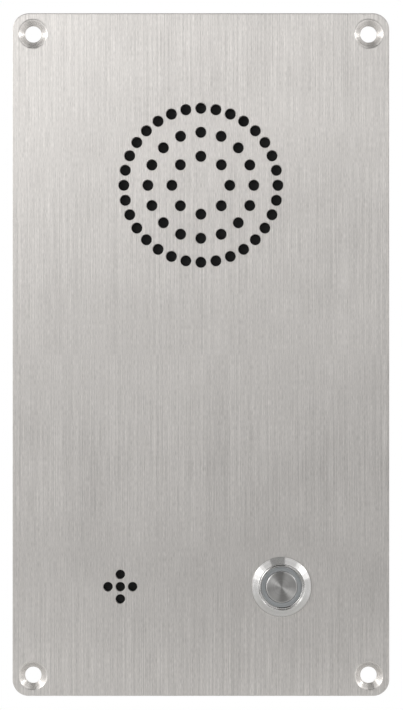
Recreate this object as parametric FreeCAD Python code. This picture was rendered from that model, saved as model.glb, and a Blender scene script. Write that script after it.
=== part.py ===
"""A flush-mounted network intercom: a brushed stainless front plate with a loudspeaker grille, five
microphone holes and one ring-lit push switch, and behind it a folded steel cover over the electronics.

Frame: +X right and +Z up as seen by the person calling, +Y into the wall. The origin is the centre of the
front plate's rear face, which is the plane that lies on the wall. Sizes are in millimetres.
"""

import math
import os

import FreeCAD
import Part

# Round forms that repeat in number, or that nothing shows, are drawn with this many flat sides.
repeated_round_sides = 8
hidden_round_sides = 16

# Front plate: laser-cut stainless sheet, fixed by four countersunk screws.
plate_width = 138.0
plate_height = 250.0
plate_thickness = 3.0
plate_corner_radius = 6.0
fixing_inset = 7.5
fixing_hole_diameter = 6.0
countersink_diameter = 10.4
countersink_angle = 90.0

# Loudspeaker grille: rings of holes about the loudspeaker's axis, twice as many in each ring as in the one
# inside it.
grille_hole_diameter = 4.0
grille_first_ring_radius = 10.6
grille_ring_step = 8.8
grille_first_ring_holes = 8
grille_ring_count = 3

# Microphone holes: a plus sign of five. The microphone and the switch stand on one level, as far to either
# side as leaves controls_side_gap between the switch's nut and the cover's wall.
controls_rise = 40.0
controls_side_gap = 3.1
microphone_hole_diameter = 3.5
microphone_hole_pitch = 4.5

# Rear cover: folded sheet with a flange all round, on a foam gasket, held by nuts on studs welded to the
# plate.
cover_inset = 11.5
flange_width = 11.0
flange_corner_radius = 16.0
sheet_thickness = 1.2
cover_bend_radius = 2.4
cover_rear_gap = 1.0
gasket_thickness = 1.5
gasket_width = 4.0
gasket_setback = 1.0
stud_diameter = 3.0
stud_length = 7.0
stud_edge_distance = 3.9
stud_end_distance = 7.0
stud_hole_clearance = 0.4
nut_across_flats = 5.5
nut_height = 2.4
thread_clearance = 0.05

# Loudspeaker, facing the grille, below the cover's top wall.
speaker_diameter = 66.0
speaker_top_gap = 6.3
acoustic_cloth_thickness = 0.6
speaker_rim_width = 2.0
speaker_ledge_width = 2.6
speaker_ledge_depth = 2.0
frame_thickness = 0.8
frame_cone_depth = 10.0
frame_rear_diameter = 36.0
frame_window_count = 4
frame_window_angle = 54.0
frame_window_margin = 2.0
pole_plate_thickness = 3.0
magnet_diameter = 40.0
magnet_bore = 19.0
magnet_thickness = 7.0
yoke_plate_thickness = 2.5
pole_diameter = 13.6
pole_front_recess = 0.6
coil_gap = 0.4
coil_wall = 0.5
coil_depth_in_gap = 3.6
cone_thickness = 0.4
cone_neck_height = 4.4
surround_width = 3.4
surround_glue_width = 2.0
spider_height = 2.3
spider_thickness = 0.3
dust_cap_rise = 2.4
dust_cap_overlap = 1.5
speaker_tag_width = 10.0
speaker_tag_thickness = 1.2
bridge_thickness = 1.2
bridge_width = 14.0
bridge_turn = 45.0
bridge_side_gap = 1.0
bridge_foot_length = 9.0

# Microphone: a capsule in a rubber boot with a shallow chamber in front of it, under a stepped bracket.
microphone_cloth_thickness = 0.5
boot_diameter = 19.0
boot_thickness = 9.0
boot_chamber_diameter = 13.5
boot_chamber_depth = 2.5
capsule_diameter = 9.7
capsule_length = 5.2
capsule_clearance = 0.05
bracket_thickness = 1.0
bracket_width = 20.0
bracket_side_gap = 0.5
bracket_foot_length = 9.0
bracket_hole_diameter = 7.0
bracket_stud_spacing = 11.0

# Push switch: ring-lit, panel-mounted from the front by its own nut. Its round parts follow from the thread.
switch_thread_diameter = 18.9
switch_hole_clearance = 0.3
switch_bezel_overlap = 1.55
switch_bezel_slope = 2.2
switch_bezel_height = 2.2
switch_bezel_edge = 0.6
switch_inner_bevel = 0.8
switch_barrel_length = 20.0
switch_barrel_wall = 1.15
switch_web_front = 3.0
switch_web_thickness = 5.0
switch_seal_thickness = 0.5
switch_seal_width = 1.0
switch_seal_play = 0.1
switch_nut_wall = 1.55
switch_nut_height = 3.0
button_head_clearance = 0.25
button_head_recess = 0.2
button_head_depth = 3.4
light_ring_width = 1.95
button_cap_thickness = 1.0
button_cap_bevel = 0.25
button_cap_clearance = 0.05
light_ring_setback = 0.05
button_travel = 2.0
stem_guide_wall = 1.4
stem_clearance = 0.1
stem_tail_diameter = 4.4
stem_tail_length = 7.0
plunger_seal_groove_depth = 0.9
plunger_seal_width = 1.0
plunger_seal_clearance = 0.05
collar_pin_gap = 0.85
collar_thickness = 1.2
collar_play = 0.05
collar_overhang = 0.7
spring_wall = 0.6
spring_clearance = 0.3

# Inside the switch: four lamps on a ring-shaped board, and a bridge that joins two fixed contacts when it is
# pressed.
led_board_thickness = 1.0
led_board_wall = 2.2
led_size = 1.6
led_height = 0.8
led_count = 4
led_pin_size = 0.6
led_pin_hole_diameter = 1.6
bridge_bar_end_gap = 0.4
bridge_bar_width = 2.4
bridge_bar_thickness = 0.4
contact_play = 0.05
contact_inset = 1.2
lamp_blade_spacing = 11.0
lamp_blade_hold = 2.0
blade_width = 2.0
blade_thickness = 0.5
blade_length = 5.0
base_insertion = 6.0
base_rim = 4.0
base_clearance = 0.1
switch_plug_side_wall = 1.15
switch_plug_end_wall = 1.5
switch_plug_length = 5.6

# Main board, on threaded standoffs; its two connectors face the rear through windows in the cover.
board_thickness = 1.6
board_side_gap = 3.3
board_speaker_gap = 10.0
board_switch_gap = 7.3
standoff_across_flats = 5.5
standoff_bore_depth = 6.0
board_fixing_inset = 4.0
board_screw_head_diameter = 5.5
board_screw_head_height = 2.0
board_screw_reach = 4.5
window_clearance = 0.4
connector_recess = 0.3

jack_width = 15.9
jack_height = 14.0
jack_length = 17.1
jack_shell_thickness = 0.35
jack_plug_width = 11.7
jack_plug_height = 6.7
jack_latch_width = 6.2
jack_latch_height = 1.7
jack_key_width = 3.4
jack_key_height = 1.3
jack_floor_drop = 4.15
jack_cavity_depth = 13.0
jack_contact_count = 8
jack_contact_pitch = 1.02
jack_contact_width = 0.45
jack_contact_lift = 1.7
jack_contact_setback = 2.5
jack_contact_flat = 1.0

terminal_count = 4
terminal_pitch = 5.0
terminal_block_height = 10.0
terminal_entry_size = 3.2
terminal_entry_depth = 9.0
terminal_entry_rise = 3.2
terminal_slot_width = 2.8
terminal_slot_height = 1.4
terminal_slot_depth = 3.0
terminal_slot_drop = 2.1

# Components on the board's rear face, and the place of each from the board's centre, to the right and up.
transformer_size = (16.0, 11.5, 13.0)
relay_size = (15.6, 11.0, 10.4)
processor_size = (14.0, 1.4, 14.0)
memory_size = (10.0, 1.2, 6.0)
codec_size = (6.0, 1.0, 6.0)
capacitor_diameter = 8.0
capacitor_height = 11.5
capacitor_gap = 2.0
socket_size = (7.5, 6.0, 4.5)
socket_inset = 6.0
jack_offset = (-21.8, 18.5)
terminal_offset = (18.5, 18.5)
transformer_offset = (-21.8, -10.0)
relay_offset = (18.5, -3.4)
processor_offset = (1.7, -16.8)
memory_offset = (22.7, -16.8)
codec_offset = (22.7, -27.7)
capacitor_offset = (0.0, 16.8)

lead_thickness = 1.2
lead_width = 3.6
lead_bend_radius = 4.0
lead_rise = 4.4

# Levels along Y, from the plate towards the rear of the cover.
plate_front = -plate_thickness
bezel_front = plate_front - switch_bezel_height
button_front = bezel_front + button_head_recess
button_rear = button_front + button_head_depth
web_rear = switch_web_front + switch_web_thickness
collar_rear = web_rear + collar_play + collar_thickness
tail_end = web_rear + stem_tail_length
bar_rear = tail_end + bridge_bar_thickness
contact_front = bar_rear + button_travel + contact_play
base_front = switch_barrel_length - base_insertion
base_rear = switch_barrel_length + base_rim
spring_seat = switch_barrel_length
switch_plug_rear = base_rear + switch_plug_length

rim_front = acoustic_cloth_thickness
ledge_front = rim_front + speaker_ledge_depth
shelf_front = ledge_front + frame_cone_depth
pole_plate_front = shelf_front + frame_thickness
magnet_front = pole_plate_front + pole_plate_thickness
yoke_front = magnet_front + magnet_thickness
yoke_rear = yoke_front + yoke_plate_thickness
bridge_rear = yoke_rear + bridge_thickness
boot_rear = microphone_cloth_thickness + boot_thickness

cover_inner_rear = max(switch_plug_rear, bridge_rear) + cover_rear_gap
cover_outer_rear = cover_inner_rear + sheet_thickness
flange_front = gasket_thickness
flange_rear = flange_front + sheet_thickness
connector_rear = cover_outer_rear - connector_recess
board_rear = connector_rear - jack_length
board_front = board_rear - board_thickness
socket_rear = board_rear + socket_size[1]

# Radii in the switch, from its thread outwards and then inwards.
switch_nut_across_flats = switch_thread_diameter + 2 * switch_nut_wall
bezel_radius = switch_thread_diameter / 2 + switch_bezel_overlap
ridge_radius = bezel_radius - switch_bezel_slope
head_bore_radius = ridge_radius - switch_inner_bevel
ring_radius = head_bore_radius - button_head_clearance
cap_radius = ring_radius - light_ring_width - button_cap_clearance
lamp_radius = ring_radius - led_board_wall / 2
stem_radius = lamp_radius - led_pin_hole_diameter / 2 - stem_guide_wall - stem_clearance
collar_radius = lamp_radius - led_pin_size / 2 - collar_pin_gap
spring_radius = collar_radius - collar_overhang
bar_half_length = spring_radius - spring_wall - bridge_bar_end_gap
contact_x = bar_half_length - contact_inset
switch_plug_width = 2 * (contact_x + blade_thickness / 2 + switch_plug_side_wall)
switch_plug_height = lamp_blade_spacing + blade_thickness + 2 * switch_plug_end_wall

# Places across the plate.
cover_width = plate_width - 2 * (cover_inset + flange_width)
cover_height = plate_height - 2 * (cover_inset + flange_width)
inner_half_width = cover_width / 2 - sheet_thickness
switch_nut_radius = switch_nut_across_flats / math.sqrt(3)
controls_offset = inner_half_width - switch_nut_radius - controls_side_gap
controls_z = controls_rise - plate_height / 2
grille_z = cover_height / 2 - sheet_thickness - speaker_top_gap - speaker_diameter / 2
fixing_x = plate_width / 2 - fixing_inset
fixing_z = plate_height / 2 - fixing_inset

board_top = grille_z - speaker_diameter / 2 - board_speaker_gap
board_bottom = controls_z + switch_nut_radius + board_switch_gap
board_width = 2 * (inner_half_width - board_side_gap)
board_height = board_top - board_bottom
board_z = (board_top + board_bottom) / 2


def vector(x, y, z):
    return FreeCAD.Vector(x, y, z)


def block(width, depth, height, x, y, z):
    """A box centred on x and z whose front face is at y."""
    return Part.makeBox(width, depth, height, vector(x - width / 2, y, z - height / 2))


def rod(radius, front, rear, x=0.0, z=0.0):
    """A round bar along Y."""
    return Part.makeCylinder(radius, rear - front, vector(x, front, z), vector(0, 1, 0))


def tube(outer, inner, front, rear, x=0.0, z=0.0):
    """A plain ring or sleeve along Y."""
    return rod(outer, front, rear, x, z).cut(rod(inner, front, rear, x, z))


def turned(profile, x=0.0, z=0.0):
    """A body of revolution about an axis along Y, from its half outline of (radius, y) points."""
    points = [vector(r, y, 0) for r, y in profile]
    outline = Part.Face(Part.makePolygon(points + points[:1]))
    body = outline.revolve(vector(0, 0, 0), vector(0, 1, 0), 360)
    body.translate(vector(x, 0, z))
    return body


def circle_points(sides, radius, y, x, z):
    """Corners of a regular polygon across Y, the first of them to the right."""
    turns = [2 * math.pi * k / sides for k in range(sides)]
    return [vector(x + radius * math.cos(turn), y, z + radius * math.sin(turn)) for turn in turns]


def hidden_turned(profile, x=0.0, z=0.0):
    """The same as turned, with flat sides: for round pieces that nothing shows."""
    rings = [circle_points(hidden_round_sides, r, y, x, z) for r, y in profile]
    faces = []
    for k, (near, far) in enumerate(zip(rings, rings[1:] + rings[:1])):
        if profile[k][0] == 0 and profile[(k + 1) % len(profile)][0] == 0:
            continue
        for i in range(hidden_round_sides):
            j = (i + 1) % hidden_round_sides
            corners = [near[i], near[j], far[j], far[i]]
            distinct = [c for n, c in enumerate(corners) if not c.isEqual(corners[n - 1], 1e-7)]
            faces.append(Part.Face(Part.makePolygon(distinct + distinct[:1])))
    body = Part.Solid(Part.Shell(faces)).removeSplitter()
    if body.Volume < 0:
        body.reverse()
    return body


def sided(sides, radius, front, rear, x=0.0, z=0.0):
    """A prism along Y with its corners on a circle."""
    corners = circle_points(sides, radius, front, x, z)
    return Part.Face(Part.makePolygon(corners + corners[:1])).extrude(vector(0, rear - front, 0))


def small_rod(radius, front, rear, x=0.0, z=0.0):
    """A round bar or hole of which the object has many."""
    return sided(repeated_round_sides, radius, front, rear, x, z)


def hidden_rod(radius, front, rear, x=0.0, z=0.0):
    return sided(hidden_round_sides, radius, front, rear, x, z)


def flats_round(radius):
    """Corner radius of a hidden round form whose flats lie on this radius, for a bore round a true circle."""
    return radius / math.cos(math.pi / hidden_round_sides)


def hidden_tube(outer, inner, front, rear, x=0.0, z=0.0):
    return hidden_rod(outer, front, rear, x, z).cut(hidden_rod(inner, front, rear, x, z))


def hexagon(across_flats, front, rear, x=0.0, z=0.0):
    return sided(6, across_flats / math.sqrt(3), front, rear, x, z)


def rounded_slab(width, height, radius, front, rear, x=0.0, z=0.0):
    """A slab across Y with rounded corners."""
    slab = Part.makeBox(width, rear - front, height, vector(x - width / 2, front, z - height / 2))
    corners = [e for e in slab.Edges if abs(e.tangentAt(e.FirstParameter).y) > 0.9]
    return slab.makeFillet(radius, corners)


def signs():
    """The four corners as pairs of signs."""
    return [(sx, sz) for sx in (-1, 1) for sz in (-1, 1)]


def save(name, *solids):
    """Writes one sub-part as parts/NAME.step."""
    shape = solids[0] if len(solids) == 1 else Part.makeCompound(list(solids))
    shape.exportStep(os.path.join("parts", name + ".step"))


def grille_holes():
    """Centres of the loudspeaker holes, ring by ring, the first of each ring at twelve o'clock."""
    places = []
    for ring in range(grille_ring_count):
        radius = grille_first_ring_radius + ring * grille_ring_step
        count = grille_first_ring_holes * 2**ring
        for k in range(count):
            turn = 2 * math.pi * k / count
            places.append((radius * math.sin(turn), grille_z + radius * math.cos(turn)))
    return places


def microphone_holes():
    pitch = microphone_hole_pitch
    steps = ((0, 0), (pitch, 0), (-pitch, 0), (0, pitch), (0, -pitch))
    return [(-controls_offset + dx, controls_z + dz) for dx, dz in steps]


def cover_stud_places():
    """Three studs down each long side of the flange."""
    x = cover_width / 2 + flange_width - stud_edge_distance
    z = cover_height / 2 - stud_end_distance
    return [(sx * x, k * z) for sx in (-1, 1) for k in (-1, 0, 1)]


def speaker_stud_places():
    """In line with the strap across the loudspeaker, which runs to two corners of the cover."""
    reach = speaker_diameter / 2 + bridge_side_gap + bridge_thickness + bridge_foot_length / 2
    turn = math.radians(bridge_turn)
    x, z = reach * math.cos(turn), reach * math.sin(turn)
    return [(-x, grille_z - z), (x, grille_z + z)]


def bracket_foot_x():
    """The microphone bracket's foot points towards the middle of the plate: its two ends."""
    leg = -controls_offset + boot_diameter / 2 + bracket_side_gap + bracket_thickness
    return leg, leg + bracket_foot_length


def microphone_stud_places():
    x = sum(bracket_foot_x()) / 2
    return [(x, controls_z - bracket_stud_spacing / 2), (x, controls_z + bracket_stud_spacing / 2)]


def board_fixing_places():
    x = board_width / 2 - board_fixing_inset
    z = board_height / 2 - board_fixing_inset
    return [(sx * x, board_z + sz * z) for sx, sz in signs()]


def stud_holes(places, front, rear):
    radius = (stud_diameter + stud_hole_clearance) / 2
    return Part.makeCompound([small_rod(radius, front, rear, x, z) for x, z in places])


def front_plate():
    plate = rounded_slab(plate_width, plate_height, plate_corner_radius, plate_front, 0.0)
    holes = [small_rod(grille_hole_diameter / 2, plate_front, 0.0, x, z) for x, z in grille_holes()]
    holes += [small_rod(microphone_hole_diameter / 2, plate_front, 0.0, x, z) for x, z in microphone_holes()]
    switch_hole = (switch_thread_diameter + switch_hole_clearance) / 2
    holes.append(rod(switch_hole, plate_front, 0.0, controls_offset, controls_z))
    hole, sink = fixing_hole_diameter / 2, countersink_diameter / 2
    sink_depth = (sink - hole) / math.tan(math.radians(countersink_angle / 2))
    outline = [(0, plate_front), (sink, plate_front), (hole, plate_front + sink_depth), (hole, 0.0), (0, 0.0)]
    holes += [turned(outline, sx * fixing_x, sz * fixing_z) for sx, sz in signs()]
    return plate.cut(Part.makeCompound(holes))


def weld_studs():
    """Threaded studs welded to the plate's rear face."""
    places = cover_stud_places() + speaker_stud_places() + microphone_stud_places()
    return [small_rod(stud_diameter / 2, 0.0, stud_length, x, z) for x, z in places]


def stud_nuts(places, seat):
    bore, top = stud_diameter / 2 + thread_clearance, seat + nut_height
    blanks = [hexagon(nut_across_flats, seat, top, x, z) for x, z in places]
    return [blank.cut(small_rod(bore, seat, top, x, z)) for blank, (x, z) in zip(blanks, places)]


def cover_gasket():
    """A foam ring with square corners, between the studs and the mouth of the tray."""
    width, height = cover_width + 2 * gasket_setback, cover_height + 2 * gasket_setback
    grow = 2 * gasket_width
    ring = block(width + grow, gasket_thickness, height + grow, 0, 0.0, 0)
    return ring.cut(block(width, gasket_thickness, height, 0, 0.0, 0))


def folded_tray(width, height, bend, front, rear):
    """The outline of a folded tray: square at its welded corners, round along its four rear folds."""
    tray = block(width, rear - front, height, 0, front, 0)
    return tray.makeFillet(bend, [edge for edge in tray.Edges if edge.BoundBox.YMin > rear - 1e-6])


def connector_windows():
    """Openings in the cover's rear wall, one round each connector."""
    jack = jack_width, jack_height, jack_offset
    terminals = terminal_count * terminal_pitch, terminal_block_height, terminal_offset
    grow, windows = 2 * window_clearance, []
    for width, height, offset in (jack, terminals):
        x, z = board_place(offset)
        windows.append(block(width + grow, sheet_thickness, height + grow, x, cover_inner_rear, z))
    return windows


def rear_cover():
    """A folded tray with welded corners, welded into a flat flange with rounded corners."""
    t, grow = sheet_thickness, 2 * flange_width
    flange = rounded_slab(
        cover_width + grow, cover_height + grow, flange_corner_radius, flange_front, flange_rear
    )
    outside = folded_tray(cover_width, cover_height, cover_bend_radius, flange_front, cover_outer_rear)
    inside = folded_tray(
        cover_width - 2 * t, cover_height - 2 * t, cover_bend_radius - t, flange_front, cover_inner_rear
    )
    holes = Part.makeCompound([inside] + connector_windows())
    cover = flange.fuse(outside).removeSplitter().cut(holes)
    return cover.cut(stud_holes(cover_stud_places(), flange_front, flange_rear))


def speaker_cloth():
    return hidden_rod(speaker_diameter / 2 + bridge_side_gap, 0.0, acoustic_cloth_thickness, 0, grille_z)


def speaker_frame():
    """The pressed basket: a rim, a ledge for the cone's edge, a conical wall with windows and a shelf."""
    outer = speaker_diameter / 2
    ledge_outer, ledge_inner = ledge_radii()
    shelf = frame_rear_diameter / 2
    bore = pole_diameter / 2 + 2 * coil_gap + coil_wall
    t = frame_thickness
    frame = hidden_turned(
        [
            (ledge_outer, rim_front),
            (outer, rim_front),
            (outer, ledge_front + t),
            (ledge_inner + t, ledge_front + t),
            (shelf + t, shelf_front + t),
            (bore, shelf_front + t),
            (bore, shelf_front),
            (shelf, shelf_front),
            (ledge_inner, ledge_front),
            (ledge_outer, ledge_front),
        ],
        0,
        grille_z,
    )
    low, high = ledge_front + t + frame_window_margin, shelf_front - frame_window_margin
    windows = []
    for k in range(frame_window_count):
        middle = 360 * (k + 0.5) / frame_window_count
        turns = [math.radians(middle + side * frame_window_angle / 2) for side in (-1, 1)]
        corners = [vector(0, low, grille_z)]
        corners += [vector(outer * math.cos(turn), low, grille_z + outer * math.sin(turn)) for turn in turns]
        windows.append(Part.Face(Part.makePolygon(corners + corners[:1])).extrude(vector(0, high - low, 0)))
    return frame.cut(Part.makeCompound(windows))


def pole_plate():
    bore = pole_diameter / 2 + 2 * coil_gap + coil_wall
    return hidden_tube(frame_rear_diameter / 2, bore, pole_plate_front, magnet_front, 0, grille_z)


def speaker_magnet():
    return hidden_tube(magnet_diameter / 2, magnet_bore / 2, magnet_front, yoke_front, 0, grille_z)


def speaker_yoke():
    pole = pole_diameter / 2
    plate = frame_rear_diameter / 2
    nose = pole_plate_front + pole_front_recess
    outline = [(0, nose), (pole, nose), (pole, yoke_front)]
    outline += [(plate, yoke_front), (plate, yoke_rear), (0, yoke_rear)]
    return hidden_turned(outline, 0, grille_z)


def ledge_radii():
    """The flat ledge in the frame that the cone's soft ring is glued to."""
    outer = speaker_diameter / 2 - speaker_rim_width
    return outer, outer - speaker_ledge_width


def cone_edge_radius():
    return ledge_radii()[1] - surround_width


def cone_neck():
    """Where the cone meets the voice coil: the coil's outer radius and the cone's front level there."""
    return pole_diameter / 2 + coil_gap + coil_wall, shelf_front - cone_neck_height


def sheet_ring(inner, inner_front, outer, outer_front, thickness):
    """A thin flat or conical ring about the loudspeaker's axis."""
    front = [(inner, inner_front), (outer, outer_front)]
    rear = [(r, y + thickness) for r, y in reversed(front)]
    return hidden_turned(front + rear, 0, grille_z)


def speaker_cone():
    neck, level = cone_neck()
    edge_front = ledge_front - cone_thickness
    return sheet_ring(neck - coil_wall, level, cone_edge_radius(), edge_front, cone_thickness)


def cone_surround():
    """The soft ring between the cone and the frame's ledge."""
    outer = ledge_radii()[1] + surround_glue_width
    front = ledge_front - cone_thickness
    return sheet_ring(cone_edge_radius(), front, outer, front, cone_thickness)


def cone_spider():
    """The cupped ring that centres the voice coil: it is glued to the coil and to the frame's shelf."""
    neck, _ = cone_neck()
    front = shelf_front - spider_thickness
    return sheet_ring(neck, front - spider_height, frame_rear_diameter / 2, front, spider_thickness)


def dust_cap():
    neck, level = cone_neck()
    edge = neck + dust_cap_overlap
    slope = (level - ledge_front + cone_thickness) / (cone_edge_radius() - neck + coil_wall)
    rim = level - slope * (dust_cap_overlap + coil_wall)
    top = rim - dust_cap_rise
    t = cone_thickness
    return hidden_turned([(0, top), (edge, rim - t), (edge, rim), (0, top + t)], 0, grille_z)


def voice_coil():
    neck, level = cone_neck()
    rear = pole_plate_front + coil_depth_in_gap
    return hidden_tube(neck, neck - coil_wall, level + cone_thickness, rear, 0, grille_z)


def speaker_tag_z():
    """The tag board lies behind the frame's ledge, at six o'clock."""
    return grille_z - speaker_diameter / 2 + (speaker_rim_width + speaker_ledge_width) / 2


def speaker_tags():
    front = ledge_front + frame_thickness
    height = speaker_rim_width + 1.0
    return block(speaker_tag_width, speaker_tag_thickness, height, 0, front, speaker_tag_z())


def speaker_bridge():
    """A bent strap across the magnet that holds the loudspeaker against the plate."""
    half = speaker_diameter / 2 + bridge_side_gap
    t = bridge_thickness
    foot = half + t + bridge_foot_length
    right = [(half, 0.0), (foot, 0.0), (foot, t), (half + t, t), (half + t, bridge_rear)]
    left = [(-x, y) for x, y in reversed(right)]
    inner = [(-half, yoke_rear), (half, yoke_rear)]
    points = [vector(x, y, -bridge_width / 2) for x, y in right + left + inner]
    strap = Part.Face(Part.makePolygon(points + points[:1])).extrude(vector(0, 0, bridge_width))
    strap.rotate(vector(0, 0, 0), vector(0, 1, 0), -bridge_turn)
    strap.translate(vector(0, 0, grille_z))
    return strap.cut(stud_holes(speaker_stud_places(), 0.0, t))


def microphone_cloth():
    return block(boot_diameter, microphone_cloth_thickness, boot_diameter, -controls_offset, 0.0, controls_z)


def microphone_boot():
    front, bore = microphone_cloth_thickness, capsule_diameter / 2 + capsule_clearance
    chamber_rear = front + boot_chamber_depth
    outer, chamber = boot_diameter / 2, boot_chamber_diameter / 2
    outline = [(chamber, front), (outer, front), (outer, boot_rear), (bore, boot_rear)]
    outline += [(bore, chamber_rear), (chamber, chamber_rear)]
    return hidden_turned(outline, -controls_offset, controls_z)


def microphone_capsule():
    front = boot_rear - capsule_length
    return hidden_rod(capsule_diameter / 2, front, boot_rear, -controls_offset, controls_z)


def microphone_bracket():
    """A stepped bracket: a foot on the plate, a leg beside the boot, and a holed plate over it."""
    t, (leg, toe) = bracket_thickness, bracket_foot_x()
    far = -controls_offset - boot_diameter / 2
    outline = [(far, boot_rear), (leg - t, boot_rear), (leg - t, 0.0), (toe, 0.0), (toe, t), (leg, t)]
    outline += [(leg, boot_rear + t), (far, boot_rear + t)]
    points = [vector(x, y, controls_z - bracket_width / 2) for x, y in outline]
    bracket = Part.Face(Part.makePolygon(points + points[:1])).extrude(vector(0, 0, bracket_width))
    hole = small_rod(bracket_hole_diameter / 2, boot_rear, boot_rear + t, -controls_offset, controls_z)
    return bracket.cut(hole).cut(stud_holes(microphone_stud_places(), 0.0, t))


def lamp_pin_places():
    return [(controls_offset + side * lamp_radius, controls_z) for side in (-1, 1)]


def switch_housing():
    """Bezel and threaded barrel in one turned piece, with a web inside that guides the plunger."""
    barrel = switch_thread_diameter / 2
    rear_bore = barrel - switch_barrel_wall
    guide = stem_radius + stem_clearance
    recess = barrel + switch_hole_clearance / 2 + switch_seal_width + switch_seal_play
    seal_front = plate_front - switch_seal_thickness
    housing = turned(
        [
            (bezel_radius, plate_front),
            (bezel_radius, plate_front - switch_bezel_edge),
            (ridge_radius, bezel_front),
            (head_bore_radius, bezel_front + switch_inner_bevel),
            (head_bore_radius, switch_web_front),
            (guide, switch_web_front),
            (guide, web_rear),
            (rear_bore, web_rear),
            (rear_bore, switch_barrel_length),
            (barrel, switch_barrel_length),
            (barrel, seal_front),
            (recess, seal_front),
            (recess, plate_front),
        ],
        controls_offset,
        controls_z,
    )
    radius = led_pin_hole_diameter / 2
    holes = [small_rod(radius, switch_web_front, web_rear, x, z) for x, z in lamp_pin_places()]
    return housing.cut(Part.makeCompound(holes))


def switch_seal():
    """A flat rubber ring round the barrel, in a recess behind the bezel."""
    inner = (switch_thread_diameter + switch_hole_clearance) / 2
    outer, front = inner + switch_seal_width, plate_front - switch_seal_thickness
    return hidden_tube(outer, flats_round(inner), front, plate_front, controls_offset, controls_z)


def switch_nut():
    bore = flats_round(switch_thread_diameter / 2 + thread_clearance)
    nut = hexagon(switch_nut_across_flats, 0.0, switch_nut_height, controls_offset, controls_z)
    return nut.cut(hidden_rod(bore, 0.0, switch_nut_height, controls_offset, controls_z))


def button_cap():
    bevel, front, rear = button_cap_bevel, button_front, button_front + button_cap_thickness
    outline = [(0, front), (cap_radius - bevel, front), (cap_radius, front + bevel)]
    outline += [(cap_radius, rear), (0, rear)]
    return turned(outline, controls_offset, controls_z)


def light_ring():
    """The clear ring round the cap, lit from behind."""
    inner = cap_radius + button_cap_clearance
    front = button_front + light_ring_setback
    return tube(ring_radius, inner, front, button_rear, controls_offset, controls_z)


def button_plunger():
    stem, tail = stem_radius, stem_tail_diameter / 2
    groove = stem - plunger_seal_groove_depth
    front = button_front + button_cap_thickness
    groove_front, groove_rear = seal_levels()
    outline = [(0, front), (cap_radius, front), (cap_radius, button_rear), (stem, button_rear)]
    outline += [(stem, groove_front)]
    outline += [(groove, groove_front), (groove, groove_rear), (stem, groove_rear), (stem, web_rear)]
    outline += [(tail, web_rear), (tail, tail_end), (0, tail_end)]
    return hidden_turned(outline, controls_offset, controls_z)


def seal_levels():
    """The plunger's sealing groove: its two faces, which stay inside the web over the whole travel."""
    front = (switch_web_front + web_rear - button_travel - plunger_seal_width) / 2
    return front, front + plunger_seal_width


def plunger_seal():
    inner = stem_radius - plunger_seal_groove_depth
    outer = stem_radius + stem_clearance - plunger_seal_clearance
    return hidden_tube(outer, inner, *seal_levels(), controls_offset, controls_z)


def plunger_collar():
    """Pressed on the plunger's tail behind the web: it stops the button and seats the spring."""
    front, bore = web_rear + collar_play, stem_tail_diameter / 2
    return hidden_tube(collar_radius, bore, front, collar_rear, controls_offset, controls_z)


def return_spring():
    """The outer form of the coil spring between the collar and the base."""
    inner = spring_radius - spring_wall
    return hidden_tube(spring_radius, inner, collar_rear, spring_seat, controls_offset, controls_z)


def contact_bridge():
    """The bar on the plunger's tail that joins the two fixed contacts."""
    size = 2 * bar_half_length, bridge_bar_thickness, bridge_bar_width
    return block(*size, controls_offset, tail_end, controls_z)


def led_board():
    outer, rear = ring_radius, switch_web_front
    front = rear - led_board_thickness
    return hidden_tube(outer, outer - led_board_wall, front, rear, controls_offset, controls_z)


def ring_leds():
    front = switch_web_front - led_board_thickness - led_height
    lamps = []
    for k in range(led_count):
        turn = 2 * math.pi * (k + 0.5) / led_count
        x, z = controls_offset + lamp_radius * math.cos(turn), controls_z + lamp_radius * math.sin(turn)
        lamps.append(block(led_size, led_height, led_size, x, front, z))
    return lamps


def led_pins():
    """They carry current from the base to the lamps through two holes in the web."""
    size, length = led_pin_size, base_front - switch_web_front
    return [block(size, length, size, x, switch_web_front, z) for x, z in lamp_pin_places()]


def switch_contacts():
    """The two fixed contacts, each in one piece with its blade."""
    length = base_rear + blade_length - contact_front
    size = blade_thickness, length, blade_width
    places = [controls_offset + side * contact_x for side in (-1, 1)]
    return [block(*size, x, contact_front, controls_z) for x in places]


def lamp_blades():
    front = base_rear - lamp_blade_hold
    size = blade_width, lamp_blade_hold + blade_length, blade_thickness
    places = [controls_z + side * lamp_blade_spacing / 2 for side in (-1, 1)]
    return [block(*size, controls_offset, front, z) for z in places]


def switch_base():
    """The moulded base that closes the barrel: a pocket for the spring, and a rim behind the barrel's end."""
    rim = switch_thread_diameter / 2
    spigot = rim - switch_barrel_wall - base_clearance
    pocket = spring_radius + spring_clearance
    outline = [(0, spring_seat), (pocket, spring_seat), (pocket, base_front), (spigot, base_front)]
    outline += [(spigot, switch_barrel_length), (rim, switch_barrel_length), (rim, base_rear), (0, base_rear)]
    base = hidden_turned(outline, controls_offset, controls_z)
    return base.cut(Part.makeCompound(switch_contacts() + lamp_blades()))


def switch_plug():
    """The moulded plug on the four blades that ends the switch's lead."""
    size = switch_plug_width, switch_plug_length, switch_plug_height
    plug = block(*size, controls_offset, base_rear, controls_z)
    return plug.cut(Part.makeCompound(switch_contacts() + lamp_blades()))


def board_standoffs():
    bore = stud_diameter / 2 + thread_clearance
    posts = []
    for x, z in board_fixing_places():
        post = hexagon(standoff_across_flats, 0.0, board_front, x, z)
        posts.append(post.cut(small_rod(bore, board_front - standoff_bore_depth, board_front, x, z)))
    return posts


def main_board():
    board = block(board_width, board_thickness, board_height, 0, board_front, board_z)
    return board.cut(stud_holes(board_fixing_places(), board_front, board_rear))


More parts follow.
